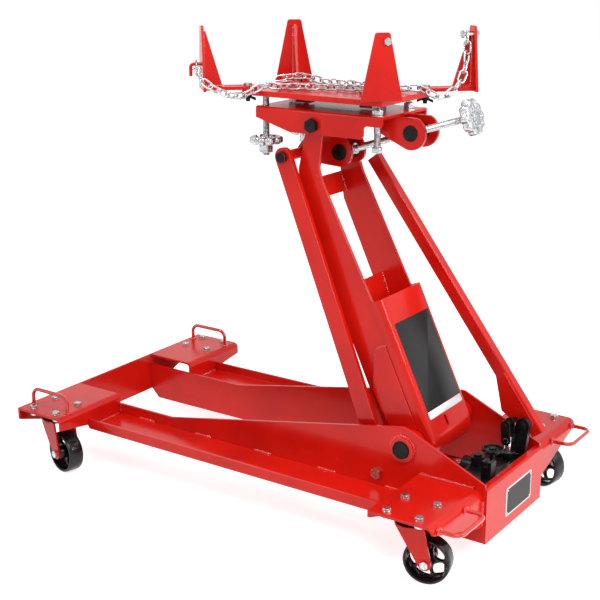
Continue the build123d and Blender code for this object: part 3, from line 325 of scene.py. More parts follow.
def onBolt(place, bolt, hand=1):
    # Tests for faces near a bolt's axis, which is X or Y of the place, outside what it clamps
    inverse = place.inverted()

    def test(centre):
        local = inverse @ centre
        aside = local[1 - bolt["axis"]] - hand * bolt["aside"]
        outside = abs(local[bolt["axis"]] - bolt["middle"]) > bolt["half"]
        return outside and math.hypot(aside, local.z - bolt["height"]) < bolt["reach"]

    return test


for place in corners:
    axle = onBolt(forkPlace(place), axleBolt)
    dress([place + "_fork"], red, extra=[(zinc, axle)])
    hook = onBolt(bracketPlace(place), hookBolt, -1 if place.endswith("right") else 1)
    dress([place + "_bracket"], red, "bracket",
          [(zinc, hook)] if place.startswith("rear") else [])
print("solids dressed")


# Building blocks: grown meshes, skins through rings, pieces on their bodies
def newObject(name, data):
    obj = bpy.data.objects.new(name, data)
    bpy.context.collection.objects.link(obj)
    return obj


def grow(group, points, edges=(), **inputs):
    seed = bpy.data.meshes.new("seed")
    seed.from_pydata(points, edges, [])
    obj = newObject("seed", seed)
    modifier = obj.modifiers.new("grow", "NODES")
    modifier.node_group = group
    for item in group.interface.items_tree:
        if item.in_out == "INPUT" and item.name in inputs:
            modifier[item.identifier] = inputs[item.name]
    ready = obj.evaluated_get(bpy.context.evaluated_depsgraph_get())
    mesh = bpy.data.meshes.new_from_object(ready)
    bpy.data.objects.remove(obj)
    return mesh


def scatterGroup():
    group, given = newGroup("scatter", Item="Object", Turn="Float", Finish="Material")
    item = addNode(group, "GeometryNodeObjectInfo", {"Object": given["Item"]}, "Geometry")
    index = addNode(group, "GeometryNodeInputIndex")
    turn = addNode(group, "FunctionNodeAxisAngleToRotation",
                   {"Axis": (0, 0, 1), "Angle": index * given["Turn"]})
    points = addNode(group, "GeometryNodeMeshToPoints", {"Mesh": given["Geometry"]})
    return paintGroup(group, copies(group, points, item, turn), given["Finish"])


scattering = scatterGroup()


def scatter(name, mesh, points, turn, finish):
    # A copy of the mesh at each point, each turned about Z from the one before
    item = newObject(name, mesh)
    mesh = grow(scattering, points, Item=item, Turn=turn, Finish=finish)
    bpy.data.objects.remove(item)
    return mesh


def joined(name, meshes):
    whole = bmesh.new()
    for mesh in meshes:
        whole.from_mesh(mesh)
    result = bpy.data.meshes.new(name)
    whole.to_mesh(result)
    whole.free()
    return result


def camel(place, kind):
    first, second = place.split("_")
    return first + second.capitalize() + kind


def addPiece(name, shape, material, body, slot, *replaced):
    # From one mesh or a list of them
    mesh = joined(name, shape) if isinstance(shape, list) else shape
    mesh.materials.clear()
    mesh.materials.append(material)
    obj = newObject(name, mesh)
    if body:
        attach(obj, body)
    if replaced:
        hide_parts(*replaced)
    return obj


def ringSkin(rings, capped=True):
    # A closed mesh through rings of equal count: both ends capped, or the last ring joined
    # to the first
    count = len(rings[0])
    points = [point for ring in rings for point in ring]
    faces = []
    for r in range(len(rings) - capped):
        low, high = r * count, (r + 1) % len(rings) * count
        for i in range(count):
            j = (i + 1) % count
            faces.append((low + i, low + j, high + j, high + i))
    if capped:
        faces.append(tuple(reversed(range(count))))
        faces.append(tuple(range((len(rings) - 1) * count, len(rings) * count)))
    mesh = bpy.data.meshes.new("skin")
    mesh.from_pydata(points, [], faces)
    return mesh


def polar(r, a, z=0):
    return (r * math.cos(a), r * math.sin(a), z)


def turnedRings(profile, sides, radius=lambda reach, a: reach):
    # Rings from (reach, height) pairs; radius(reach, angle) shapes those that aren't round
    angles = [2 * math.pi * i / sides for i in range(sides)]
    return [[polar(radius(reach, a), a, z) for a in angles] for reach, z in profile]


def turned(profile, sides, crease, capped=True, **shape):
    return softEdges(ringSkin(turnedRings(profile, sides, **shape), capped), crease)


def standing(start, axis):
    # Places a mesh made along Z at start, pointing along axis
    turn = Vector(axis).to_track_quat("Z", "Y").to_matrix().to_4x4()
    return Matrix.Translation(Vector(start)) @ turn


def moved(mesh, matrix):
    mesh.transform(matrix)
    return mesh


def softEdges(mesh, angle):
    for face in mesh.polygons:
        face.use_smooth = True
    mesh.set_sharp_from_angle(angle=math.radians(angle))
    return mesh


# Chain: links strung along a route, hanging square from a hook and lying askew on the saddle
chain = dict(
    wire=0.0044, long=0.033, wide=0.0196, pitch=0.022, lie=0.0093, samples=14,
    bendSteps=7, wireSides=10, askew=math.radians(15), askewLinks=3.0,
    noHook=1000,  # counts as the far hook's place where an end lies loose
    still=(-0.26, 0, 0), hooked=(-0.05, 0, 0),  # in the bracket's frame
)


def linkRowGroup():
    group, given = newGroup("linkRow", Count="Int", Last="Float", Wire="Float", Long="Float",
                            Wide="Float", Finish="Material")
    route = addNode(group, "GeometryNodeMeshToCurve", {"Mesh": given["Geometry"]})
    route = addNode(group, "GeometryNodeSetCurveNormal", {"Curve": route}, mode="Z_UP")
    points = addNode(group, "GeometryNodeCurveToPoints",
                     {"Curve": route, "Count": given["Count"]}, mode="COUNT")
    axes = addNode(group, "FunctionNodeAxesToRotation",
                   {0: points.other("Tangent"), 1: points.other("Normal")},
                   primary_axis="X", secondary_axis="Z")
    index = addNode(group, "GeometryNodeInputIndex")
    fromHook = index.maths("MINIMUM", index, given["Last"] - index)
    lean = fromHook.maths("MINIMUM", fromHook, chain["askewLinks"]) * chain["askew"]
    quarter = index.maths("MODULO", index, 2.0) * math.radians(90)
    roll = addNode(group, "FunctionNodeAxisAngleToRotation",
                   {"Axis": (1, 0, 0), "Angle": lean + quarter})
    turn = addNode(group, "FunctionNodeRotateRotation", {"Rotation": axes, "Rotate By": roll},
                   rotation_space="LOCAL")
    inner = given["Wide"] - given["Wire"]
    outline = addNode(group, "GeometryNodeCurvePrimitiveQuadrilateral",
                      {"Width": given["Long"] - given["Wire"], "Height": inner})
    bend = addNode(group, "GeometryNodeFilletCurve",
                   {"Curve": outline, "Count": chain["bendSteps"], "Radius": inner * 0.5,
                    "Limit Radius": True}, mode="POLY")
    wire = addNode(group, "GeometryNodeCurvePrimitiveCircle",
                   {"Resolution": chain["wireSides"], "Radius": given["Wire"] * 0.5})
    link = addNode(group, "GeometryNodeCurveToMesh", {"Curve": bend, "Profile Curve": wire})
    return paintGroup(group, copies(group, points, link, turn), given["Finish"], True)


def nearBracket(name, points):
    return [bracketPlace(name) @ Vector(point) for point in points]


def onSaddle(points):
    lie = saddleZ + chain["lie"]
    return [Vector((headX + dx, y, lie + rise)) for dx, y, rise in points]


leftRoute = [
    *nearBracket("front_left", [
        (0.012, 0.0182, 0.0548), (0.012, 0.036, 0.045), (0.007, 0.054, 0.032),
        (-0.008, 0.065, 0.018), (-0.032, 0.064, 0.004), (-0.058, 0.057, -0.006),
        (-0.084, 0.048, -0.008), (-0.106, 0.044, 0.0), (-0.126, 0.043, 0.009),
        (-0.144, 0.042, 0.012)]),
    *onSaddle([
        (-0.1, -0.078, 0), (-0.05, -0.05, 0), (0, -0.026, 0), (0.052, -0.004, 0),
        (0.098, 0.009, 0)]),
    *nearBracket("rear_left", [
        (-0.112, 0.046, 0.0093), (-0.084, 0.046, 0.0093), (-0.056, 0.044, 0.015),
        (-0.036, 0.036, 0.032), (-0.026, 0.026, 0.058), (-0.021, 0.017, 0.088),
        (-0.02, 0.0112, 0.1156)]),
]
rightRoute = [
    *nearBracket("rear_right", [
        (-0.02, -0.0112, 0.1156), (-0.021, -0.017, 0.088), (-0.026, -0.026, 0.058),
        (-0.038, -0.036, 0.028), (-0.058, -0.04, 0.004), (-0.082, -0.039, -0.008),
        (-0.106, -0.036, -0.001), (-0.126, -0.034, 0.009), (-0.146, -0.033, 0.012)]),
    *onSaddle([
        (0.142, 0.037, 0), (0.112, 0.035, 0), (0.07, 0.044, 0), (0.02, 0.054, 0),
        (-0.03, 0.058, 0), (-0.072, 0.055, 0.001), (-0.1, 0.048, 0.0075),
        (-0.124, 0.038, 0.01), (-0.146, 0.028, 0.008), (-0.166, 0.02, 0.004)]),
]


def smoothRoute(points):
    # Catmull-Rom through the points, kept above the saddle where it lies on it
    padded = [2 * points[0] - points[1], *points, 2 * points[-1] - points[-2]]
    route = []
    for a, b, c, d in zip(padded, padded[1:], padded[2:], padded[3:]):
        for step in range(chain["samples"]):
            t = step / chain["samples"]
            p = 2 * b + (c - a) * t + (2 * a - 5 * b + 4 * c - d) * t ** 2
            route.append(0.5 * (p + (3 * b - a - 3 * c + d) * t ** 3))
    route.append(points[-1])
    for p in route:
        along = jack["saddleFront"] < p.x - headX < jack["saddleRear"]
        if along and abs(p.y) < jack["saddleHalf"]:
            p.z = max(p.z, saddleZ + chain["lie"])
    return route


def linkRow(group, points, hookedBoth):
    route = smoothRoute(points)
    length = sum((b - a).length for a, b in zip(route, route[1:]))
    count = 2 * math.ceil(length / chain["pitch"] / 2) + 1
    edges = [(i, i + 1) for i in range(len(route) - 1)]
    last = float(count - 1 if hookedBoth else chain["noHook"])
    row = grow(group, route, edges, Count=count, Last=last, Wire=chain["wire"],
               Long=chain["long"], Wide=chain["wide"], Finish=zinc)
    return row, count


def someLinks(row, count, first, last):
    # A copy of the row with only the links first to last - 1
    part, work = row.copy(), bmesh.new()
    work.from_mesh(row)
    each = len(row.vertices) // count
    others = [v for v in work.verts if not first <= v.index // each < last]
    bmesh.ops.delete(work, geom=others, context="VERTS")
    work.to_mesh(part)
    work.free()
    return part


def hookedEnd(place, mesh):
    # The links of one end as a piece named after its bracket, joined to no body
    obj = addPiece(camel(place, "Chain"), mesh, zinc, None, "zinc")
    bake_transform(obj)


def makeChains():
    group = linkRowGroup()
    left, leftCount = linkRow(group, leftRoute, True)
    right, rightCount = linkRow(group, rightRoute, False)
    hookedEnd("front_left", someLinks(left, leftCount, 0, leftCount // 2))
    hookedEnd("rear_left", someLinks(left, leftCount, leftCount // 2, leftCount))
    hookedEnd("rear_right", someLinks(right, rightCount, 0, rightCount // 2))
    loose = someLinks(right, rightCount, rightCount // 2, rightCount)
    addPiece("looseChain", loose, zinc, "saddle", "zinc", "tie_down_chains")


makeChains()
print("chains hung")

# Caster bolts: chamfered hex heads over washers, nuts below
hexShape = dict(sides=36, easeIn=0.0003, easeUp=0.0002, shoulder=0.96, shoulderDrop=0.45,
                crown=0.49)


def hexHead(flats, height, chamfer, washer, washerHeight):
    # Hexagon head along Z over a washer, its top corners turned off
    corner, sides = flats / math.sqrt(3), hexShape["sides"]

    def hexagon(limit, a):
        return min(limit, flats / 2 / math.cos(a % (math.pi / 3) - math.pi / 6))

    base = [(washer, 0), (washer, washerHeight),
            (washer - hexShape["easeIn"], washerHeight + hexShape["easeUp"])]
    head = [(corner, washerHeight), (corner, height - chamfer),
            (corner * hexShape["shoulder"], height - chamfer * hexShape["shoulderDrop"]),
            (flats * hexShape["crown"], height)]
    return joined("hexHead", [ringSkin(turnedRings(base, sides)),
                              ringSkin(turnedRings(head, sides, hexagon))])


casterBolt = dict(
    hex=dict(flats=0.017, height=0.0065, washer=0.0098, washerHeight=0.0012),
    headChamfer=0.0016, nutChamfer=0.0014, shank=0.005, shankSides=20, below=0.011,
    turn=0.83, crease=25,
)


def makeCasterBolts():
    below, half = casterBolt["below"], jack["boltSquare"] / 2
    upsideDown = Matrix.Translation((0, 0, -below)) @ Matrix.Rotation(math.pi, 4, "X")
    head = hexHead(chamfer=casterBolt["headChamfer"], **casterBolt["hex"])
    nut = moved(hexHead(chamfer=casterBolt["nutChamfer"], **casterBolt["hex"]), upsideDown)
    ends = (-below - casterBolt["hex"]["height"], 0)
    shank = turnedRings([(casterBolt["shank"], z) for z in ends], casterBolt["shankSides"])
    whole = joined("casterBolt", [head, nut, ringSkin(shank)])
    points = [(x + i * half, s * (jack["swivelY"] + j * half), jack["seatTop"])
              for x in (jack["frontSwivel"], jack["rearSwivel"])
              for s in (-1, 1) for i in (-1, 1) for j in (-1, 1)]
    bolts = scatter("casterBolt", softEdges(whole, casterBolt["crease"]), points,
                    casterBolt["turn"], zinc)
    addPiece("casterBolts", bolts, zinc, "chassis", "zinc", "caster_bolts")


makeCasterBolts()
print("caster bolts set")

# Cast wheels: crowned tread, thin rim, flared spokes with oval windows between
wheel = dict(
    tread=0.038, rim=0.0072, sides=72, crease=38,
    lip=((0.0016, 0.003), (0.0004, 0.0012), (0.0014, 0.0)),  # out from the rim, in from its side
    crown=((0.0042, 0.0), (0.0018, 0.0009), (0.0006, 0.0032)), level=0.4,  # below the tread
    belly=((0.0002, 0.5), (0.0010, 0.25), (0.0010, -0.25), (0.0002, -0.5)),  # inside the rim
    hub=0.0155, hubWidth=0.046, bore=0.0056, hubEdge=((0.0030, 0.0), (0.0016, 0.0014)),
    flare=0.0014, web=0.010, spokes=5, spokeSteps=18, spokeCrease=40, sink=0.002,
    window=0.80, windowOut=0.0005, windowEnd=0.0035, windowFade=3,
    swell=((0, -1), (0.0012, -0.72), (0.0022, 0), (0.0012, 0.72), (0, 1)), fullest=0.0022,
)


def spokeMesh():
    spread = math.pi / wheel["spokes"]
    inner = wheel["hub"] - wheel["sink"]
    outer = jack["wheelR"] - wheel["rim"] + wheel["sink"]
    middle = (inner + outer) / 2 + wheel["windowOut"]
    reach = (outer - inner) / 2 - wheel["windowEnd"]
    section = [(-1, *point) for point in wheel["swell"]]
    section += [(1, *point) for point in reversed(wheel["swell"])]
    rings = []
    for step in range(wheel["spokeSteps"] + 1):
        r = inner + (outer - inner) * step / wheel["spokeSteps"]
        gap = wheel["window"] * math.sqrt(max(0, 1 - ((r - middle) / reach) ** 2))
        fade = min(1, wheel["windowFade"] * gap)
        ring = []
        for s, swell, z in section:
            a = s * (spread * (1 - gap) + (swell - wheel["fullest"]) / r * fade)
            ring.append(polar(r, a, z * wheel["web"] / 2))
        rings.append(ring)
    return softEdges(ringSkin(rings), wheel["spokeCrease"])


def makeWheels():
    half, radius = wheel["tread"] / 2, jack["wheelR"]
    inner, boss = radius - wheel["rim"], wheel["hubWidth"] / 2
    spokes = scatter("spoke", spokeMesh(), [(0, 0, 0)] * wheel["spokes"],
                     2 * math.pi / wheel["spokes"], cast)
    tread = [(inner + r, z - half) for r, z in wheel["lip"]]
    tread += [(radius - r, z - half) for r, z in wheel["crown"]]
    tread.append((radius, -half * wheel["level"]))
    tread += [(r, -z) for r, z in reversed(tread)]
    tread += [(inner - r, half * share) for r, share in wheel["belly"]]
    hub = [(wheel["bore"], -boss)] + [(wheel["hub"] - r, z - boss) for r, z in wheel["hubEdge"]]
    hub.append((wheel["hub"] + wheel["flare"], -wheel["web"] / 2))
    hub += [(r, -z) for r, z in reversed(hub)]
    rounds = [turned(profile, wheel["sides"], wheel["crease"], capped=False)
              for profile in (tread, hub)]
    whole = joined("wheel", [spokes, *rounds])
    onEdge = Matrix.Rotation(math.pi / 2, 4, "X")
    for place in corners:
        axle = forkPlace(place) @ Matrix.Translation((jack["trail"], 0, radius))
        addPiece(camel(place, "Wheel"), moved(whole.copy(), axle @ onEdge), cast,
                 place + "_wheel", "cast_wheel", place + "_wheel")


makeWheels()
print("wheels cast")

# Threaded rods: a cylinder whose skin is cut by a helix
thread = dict(sides=24, ringsPerTurn=6, pitch=0.002, depth=0.0011)


def threadGroup():
    group, given = newGroup("thread", Radius="Float", Length="Float", Pitch="Float",
                            Depth="Float", Rings="Int", Finish="Material")
    rod = addNode(group, "GeometryNodeMeshCylinder",
                  {"Vertices": thread["sides"], "Side Segments": given["Rings"],
                   "Radius": given["Radius"], "Depth": given["Length"]}, fill_type="NGON")
    where = addNode(group, "GeometryNodeInputPosition")
    split = addNode(group, "ShaderNodeSeparateXYZ", {0: where})
    around = split.maths("ARCTAN2", split.other("Y"), split.other("X")) * (0.5 / math.pi)
    phase = split.other("Z") / given["Pitch"] - around
    cut = phase.maths("PINGPONG", phase, 0.5) * 2.0 * given["Depth"] / given["Radius"] * -1.0
    inward = addNode(group, "ShaderNodeCombineXYZ", {0: split * cut, 1: split.other("Y") * cut})
    shaped = addNode(group, "GeometryNodeSetPosition", {"Geometry": rod, "Offset": inward})
    return paintGroup(group, shaped, given["Finish"], False)


threads = threadGroup()


def threadedRod(start, end, radius, pitch=thread["pitch"], depth=thread["depth"]):
    start, end = Vector(start), Vector(end)
    length = (end - start).length
    mesh = grow(threads, [(0, 0, 0)], Radius=radius, Length=length, Pitch=pitch, Depth=depth,
                Rings=int(length / pitch * thread["ringsPerTurn"]), Finish=zinc)
    return moved(mesh, standing((start + end) / 2, end - start))


def plainRod(start, end, radius, edge=0.0008, sides=32):
    start, end = Vector(start), Vector(end)
    length = (end - start).length
    profile = [(radius - edge, 0), (radius, edge), (radius, length - edge), (radius - edge, length)]
    return moved(turned(profile, sides, crease=35), standing(start, end - start))


nutShape = dict(crease=25, chamfer=0.22, washer=0.12)  # the last two as shares of the height


def hexNut(start, axis, flats, height, washer):
    mesh = hexHead(flats, height, height * nutShape["chamfer"], washer,
                   height * nutShape["washer"])
    return moved(softEdges(mesh, nutShape["crease"]), standing(start, axis))


screw = dict(
    lowerX=0.028, lowerZ=-0.066, upperX=0.207, upperZ=-0.008, tail=0.034, reach=0.322,
    radius=0.008, slack=0.0002, pitch=0.003, depth=0.0013,
    collar=0.0185, collarWidth=0.007, collarRise=0.005, collarEdge=0.0012,
    nut=dict(flats=0.024, height=0.009, washer=0.0115),
)
screwFoot = Vector((headX + screw["lowerX"], 0, headZ + screw["lowerZ"]))
screwAxis = Vector((screw["upperX"] - screw["lowerX"], 0, screw["upperZ"] - screw["lowerZ"]))
screwAxis.normalize()


def onScrew(distance):
    return screwFoot + screwAxis * distance


def makeTiltScrew():
    radius, collar = screw["radius"], screw["collar"]
    slim, far = radius - screw["slack"], onScrew(collar + screw["collarWidth"])
    parts = [
        threadedRod(far, onScrew(screw["reach"]), radius, screw["pitch"], screw["depth"]),
        plainRod(onScrew(-collar), far, slim),
        plainRod(onScrew(collar), far, radius + screw["collarRise"], screw["collarEdge"]),
        threadedRod(onScrew(-screw["tail"]), onScrew(-collar), slim),
        hexNut(onScrew(-collar), -screwAxis, **screw["nut"]),
    ]
    addPiece("tiltScrew", parts, zinc, "tilt_screw", "zinc", "tilt_screw")


sideScrew = dict(dx=-0.136, y=0.080, radius=0.008, bottom=-0.080, tip=0.0536, threadEnd=0.004,
                 point=dict(radius=0.0025, edge=0.0004, sides=20), pointLength=0.006)


def upright(x, y):
    # Heights above the head shaft, on the vertical line through x and y
    return lambda height: (x, y, headZ + height)


def makeSideScrews():
    tip = sideScrew["tip"]
    for name, s in (("left", -1), ("right", 1)):
        at = upright(headX + sideScrew["dx"], s * sideScrew["y"])
        parts = [threadedRod(at(sideScrew["bottom"]), at(tip - sideScrew["threadEnd"]),
                             sideScrew["radius"]),
                 plainRod(at(tip - sideScrew["pointLength"]), at(tip), **sideScrew["point"])]
        node = name + "_side_screw"
        addPiece(name + "SideScrew", parts, zinc, node, "zinc", node)


hold = dict(dx=0.146, y=0.066, radius=0.0079, bottom=-0.050, seat=0.031, top=0.045, plain=0.04,
            nut=dict(flats=0.022, height=0.011, washer=0.0105))


def makeHoldDowns():
    parts = []
    for s in (-1, 1):
        at = upright(headX + hold["dx"], s * hold["y"])
        low, seat, top = at(hold["bottom"]), at(hold["seat"]), at(hold["top"])
        plain = at(hold["seat"] - hold["plain"])
        parts += [threadedRod(low, plain, hold["radius"]), plainRod(plain, seat, hold["radius"]),
                  threadedRod(seat, top, hold["radius"]),
                  hexNut(seat, (0, 0, 1), **hold["nut"]), hexNut(low, (0, 0, 1), **hold["nut"])]
    addPiece("holdDownBolts", parts, zinc, "head", "zinc", "hold_down_bolts")


makeTiltScrew()
makeSideScrews()
makeHoldDowns()
print("threads cut")

# Cast hand wheels: scalloped rounded rims, dished faces, hubs
knobShape = dict(  # insets as shares of the radius, depths as shares of the dish
    lobePower=1.4, sidesPerLobe=12, roundSteps=4, crease=50, under=0.62, underDepth=0.6,
    underSlope=0.05, slope=0.06, hub=((0.66, 0.8), (0.70, 0.15), (0.80, 0.1)),
)


def handWheel(radius, thick, lobes, dip, edge, rim, dish):
    # The profile is inset from a lobed outline
    def lobed(inset, a):
        return radius - dip * (0.5 - 0.5 * math.cos(lobes * a)) ** knobShape["lobePower"] - inset

    steps = knobShape["roundSteps"]
    turns = [math.radians(90 * i / steps) for i in range(steps + 1)]
    depth = dish * knobShape["underDepth"]
    profile = [(radius * knobShape["under"], depth),
               (radius * (rim + knobShape["underSlope"]), depth), (radius * rim, 0)]
    profile += [(edge * (1 - math.sin(a)), edge * (1 - math.cos(a))) for a in turns]
    profile += [(edge * (1 - math.cos(a)), thick - edge * (1 - math.sin(a))) for a in turns]
    profile += [(radius * rim, thick), (radius * (rim + knobShape["slope"]), thick - dish)]
    profile += [(radius * inset, thick - dish * share) for inset, share in knobShape["hub"]]
    return turned(profile, lobes * knobShape["sidesPerLobe"], knobShape["crease"], radius=lobed)


tiltKnob = dict(
    wheel=dict(radius=0.040, thick=0.020, lobes=10, dip=0.0048, edge=0.0055, rim=0.26,
               dish=0.0042),
    hub=dict(radius=0.015, edge=0.0015), hubHeight=0.010, hubSunk=0.004, capSunk=0.0030,
    cap=dict(flats=0.013, height=0.0029, washer=0.0062),
)


def makeTiltKnob():
    thick = tiltKnob["wheel"]["thick"]
    start = screw["reach"] - thick / 2
    cap = onScrew(start + thick - tiltKnob["capSunk"])
    parts = [
        moved(handWheel(**tiltKnob["wheel"]), standing(onScrew(start), screwAxis)),
        plainRod(onScrew(start - tiltKnob["hubHeight"]), onScrew(start + tiltKnob["hubSunk"]),
                 **tiltKnob["hub"]),
        hexNut(cap, screwAxis, **tiltKnob["cap"]),
    ]
    addPiece("tiltKnob", parts, zinc, "tilt_screw", "zinc", "tilt_knob")


sideKnob = dict(
    wheel=dict(radius=0.038, thick=0.016, lobes=10, dip=0.0046, edge=0.0048, rim=0.24,
               dish=0.0034),
    top=-0.038, hub=dict(radius=0.016, edge=0.0015), hubHeight=0.020, hubSunk=0.004,
)


def makeSideKnobs():
    under = sideKnob["top"] - sideKnob["wheel"]["thick"]
    for name, s in (("left", -1), ("right", 1)):
        at = upright(headX + sideScrew["dx"], s * sideScrew["y"])
        parts = [moved(handWheel(**sideKnob["wheel"]), Matrix.Translation(at(under))),
                 plainRod(at(under - sideKnob["hubHeight"]), at(under + sideKnob["hubSunk"]),
                          **sideKnob["hub"])]
        node = name + "_side_knob"
        addPiece(name + "SideKnob", parts, zinc, node, "zinc", node)


valve = dict(
    x=0.519, y=-0.020, top=0.2015, stem=0.006, depth=0.010, stemSunk=0.004,
    wheel=dict(radius=0.025, thick=0.008, lobes=8, dip=0.0024, edge=0.0026, rim=0.15,
               dish=0.0044),
    collar=dict(radius=0.0105, edge=0.0016, sides=8), collarFoot=0.0002, collarTop=0.009,
)


def makeValveWheel():
    x, y, block = valve["x"], valve["y"], jack["blockTop"]
    low = valve["top"] - valve["wheel"]["thick"] / 2
    parts = [
        moved(handWheel(**valve["wheel"]), Matrix.Translation((x, y, low))),
        plainRod((x, y, block - valve["depth"]), (x, y, low + valve["stemSunk"]), valve["stem"]),
        plainRod((x, y, block + valve["collarFoot"]), (x, y, block + valve["collarTop"]),
                 **valve["collar"]),
    ]
    addPiece("valveWheel", parts, black, "release_valve", "black_steel", "release_valve")


makeTiltKnob()
makeSideKnobs()
makeValveWheel()
print("knobs cast")

# Weld beads: rippled fillets along the seams
weld = dict(radius=0.0046, ripple=0.0056, step=0.25, sides=8, wander=(130.0, 2.0),
            rippleSwell=0.5, wanderSwell=0.7, leastSwell=0.42)


def beadGroup():
    group, given = newGroup("bead", Radius="Float", Ripple="Float", Finish="Material")
    seam = addNode(group, "GeometryNodeMeshToCurve", {"Mesh": given["Geometry"]})
    seam = addNode(group, "GeometryNodeResampleCurve",
                   {"Curve": seam, "Length": given["Ripple"] * weld["step"]}, mode="LENGTH")
    length = addNode(group, "GeometryNodeSplineParameter", output="Length")
    run = length / given["Ripple"]
    wander = noise(group, addNode(group, "GeometryNodeInputPosition"), *weld["wander"])
    swell = run.maths("PINGPONG", run, 0.5) * weld["rippleSwell"]
    swell = swell + wander * weld["wanderSwell"] + weld["leastSwell"]
    profile = addNode(group, "GeometryNodeCurvePrimitiveCircle",
                      {"Resolution": weld["sides"], "Radius": given["Radius"]})
    bead = addNode(group, "GeometryNodeCurveToMesh",
                   {"Curve": seam, "Profile Curve": profile, "Scale": swell, "Fill Caps": True})
    return paintGroup(group, bead, given["Finish"], True)


beads = beadGroup()


def ringSeam(centre, axis, radius, sides=40):
    matrix = standing(centre, axis)
    angles = [2 * math.pi * i / sides for i in range(sides + 1)]
    return [matrix @ Vector(polar(radius, a)) for a in angles]


def makeWelds(name, body, seams):
    points, edges = [], []
    for seam in seams:
        edges += [(len(points) + i, len(points) + i + 1) for i in range(len(seam) - 1)]
        points += [Vector(point) for point in seam]
    mesh = grow(beads, points, edges, Radius=weld["radius"], Ripple=weld["ripple"], Finish=glossRed)
    addPiece(name, mesh, glossRed, body, "red_paint")


chassisSeam = dict(
    web=(((0.406, 0.159), (0.536, 0.159)), ((0.558, 0.136), (0.558, 0.078)),
         ((0.403, 0.109), (0.403, 0.156)), ((-0.464, 0.108), (-0.464, 0.131))),  # X and Z
    trayZ=0.107, trayEnds=(-0.464, 0.403), trayFrom=0.146, trayTo=0.250,
    stitches=(-0.40, -0.22, -0.04, 0.14, 0.32), stitch=0.05, boss=0.0292,
    frontFeet=(-0.594, -0.479), frontFeetY=0.314,
    rearFeet=(0.220, 0.335), rearFeetX=0.558, rearFeetZ=0.146, foot=0.0055, footSides=16,
)


def chassisSeams():
    seams, given = [], chassisSeam
    for s in (-1, 1):
        web, z = s * jack["webOuter"], given["trayZ"]
        seams += [[(x, web, height) for x, height in line] for line in given["web"]]
        seams += [[(x, s * given["trayFrom"], z), (x, s * given["trayTo"], z)]
                  for x in given["trayEnds"]]
        seams.append(ringSeam((jack["armX"], web, jack["armZ"]), (0, s, 0), given["boss"]))
        seams += [[(x, web, z), (x + given["stitch"], web, z)] for x in given["stitches"]]
        feet = [((x, s * given["frontFeetY"], jack["seatTop"]), (0, 0, 1))
                for x in given["frontFeet"]]
        feet += [((given["rearFeetX"], s * y, given["rearFeetZ"]), (1, 0, 0))
                 for y in given["rearFeet"]]
        seams += [ringSeam(*foot, given["foot"], given["footSides"]) for foot in feet]
    return seams


def armPoint(u, v, y):
    # u up the arm from its pivot, v towards the rear
    a = jack["armAngle"]
    return (jack["armX"] + u * math.cos(a) + v * math.sin(a), y,
            jack["armZ"] + u * math.sin(a) - v * math.cos(a))


armSeam = dict(  # u and v of both ends
    cross=(((0.574, -0.086), (0.622, -0.086)), ((0.250, -0.060), (0.369, -0.060))), crossT=0.008,
    gusset=(((0.222, -0.020), (0.222, 0.006)), ((0.222, -0.022), (0.136, -0.060)),
            ((0.110, -0.0585), (0.030, -0.046))),
)


def armSeams():
    seams = []
    for s in (-1, 1):
        inner, outer = s * jack["armInner"], s * jack["armOuter"]
        for line in armSeam["cross"]:
            for deeper in (0, armSeam["crossT"]):
                seams.append([armPoint(u, v - deeper, inner) for u, v in line])
        seams += [[armPoint(u, v, outer) for u, v in line] for line in armSeam["gusset"]]
    return seams


bracketSeam = (  # in the bracket's frame, on both sides of its rib
    ((-0.006, 0.003, 0.010), (-0.006, 0.003, 0.126)),
    ((-0.006, 0.005, 0.008), (-0.006, 0.019, 0.008)),
    ((-0.008, 0.003, 0.008), (-0.045, 0.003, 0.008)),
)


def bracketSeams(name):
    return [nearBracket(name, [(x, s * y, z) for x, y, z in line])
            for s in (-1, 1) for line in bracketSeam]


makeWelds("chassisWelds", "chassis", chassisSeams())
makeWelds("armWelds", "arm", armSeams())
for place in corners:
    makeWelds(camel(place, "BracketWelds"), place + "_bracket", bracketSeams(place))
print("welds laid")

# Blank plates, shaft-end rings and the pump's gland nut
tabletShape = dict(steps=6, sunk=0.0001, wall=0.6, ease=0.0002, crease=60)


def tablet(width, height, corner, thick):
    # A thin plate with round corners, in X and Y, its upper edge eased
    steps = tabletShape["steps"]

    def ring(inset, z):
        points = []
        for k, (i, j) in enumerate(((1, 1), (-1, 1), (-1, -1), (1, -1))):
            for step in range(steps + 1):
                x, y, _ = polar(corner - inset, math.radians(90 * (k + step / steps)))
                points.append((i * (width / 2 - corner) + x, j * (height / 2 - corner) + y, z))
        return points

    rings = [ring(0, -tabletShape["sunk"]), ring(0, thick * tabletShape["wall"]),
             ring(tabletShape["ease"], thick)]
    return softEdges(ringSkin(rings), tabletShape["crease"])


def coverFace(u, y):
    # Frame on the back of the arm cover: X up the arm, Z outwards
    along = (Vector(armPoint(1, -jack["coverSlope"], 0)) - Vector(armPoint(0, 0, 0))).normalized()
    out = Vector((0, 1, 0)).cross(along)
    place = armPoint(u, jack["coverBase"] - jack["coverSlope"] * u, y)
    turn = Matrix((along, out.cross(along), out)).transposed().to_4x4()
    return Matrix.Translation(place) @ turn


coverPanel = dict(low=0.036, high=0.262, y=0.002, width=0.150, band=0.018, gap=0.001,
                  corner=0.002, thick=0.0005)


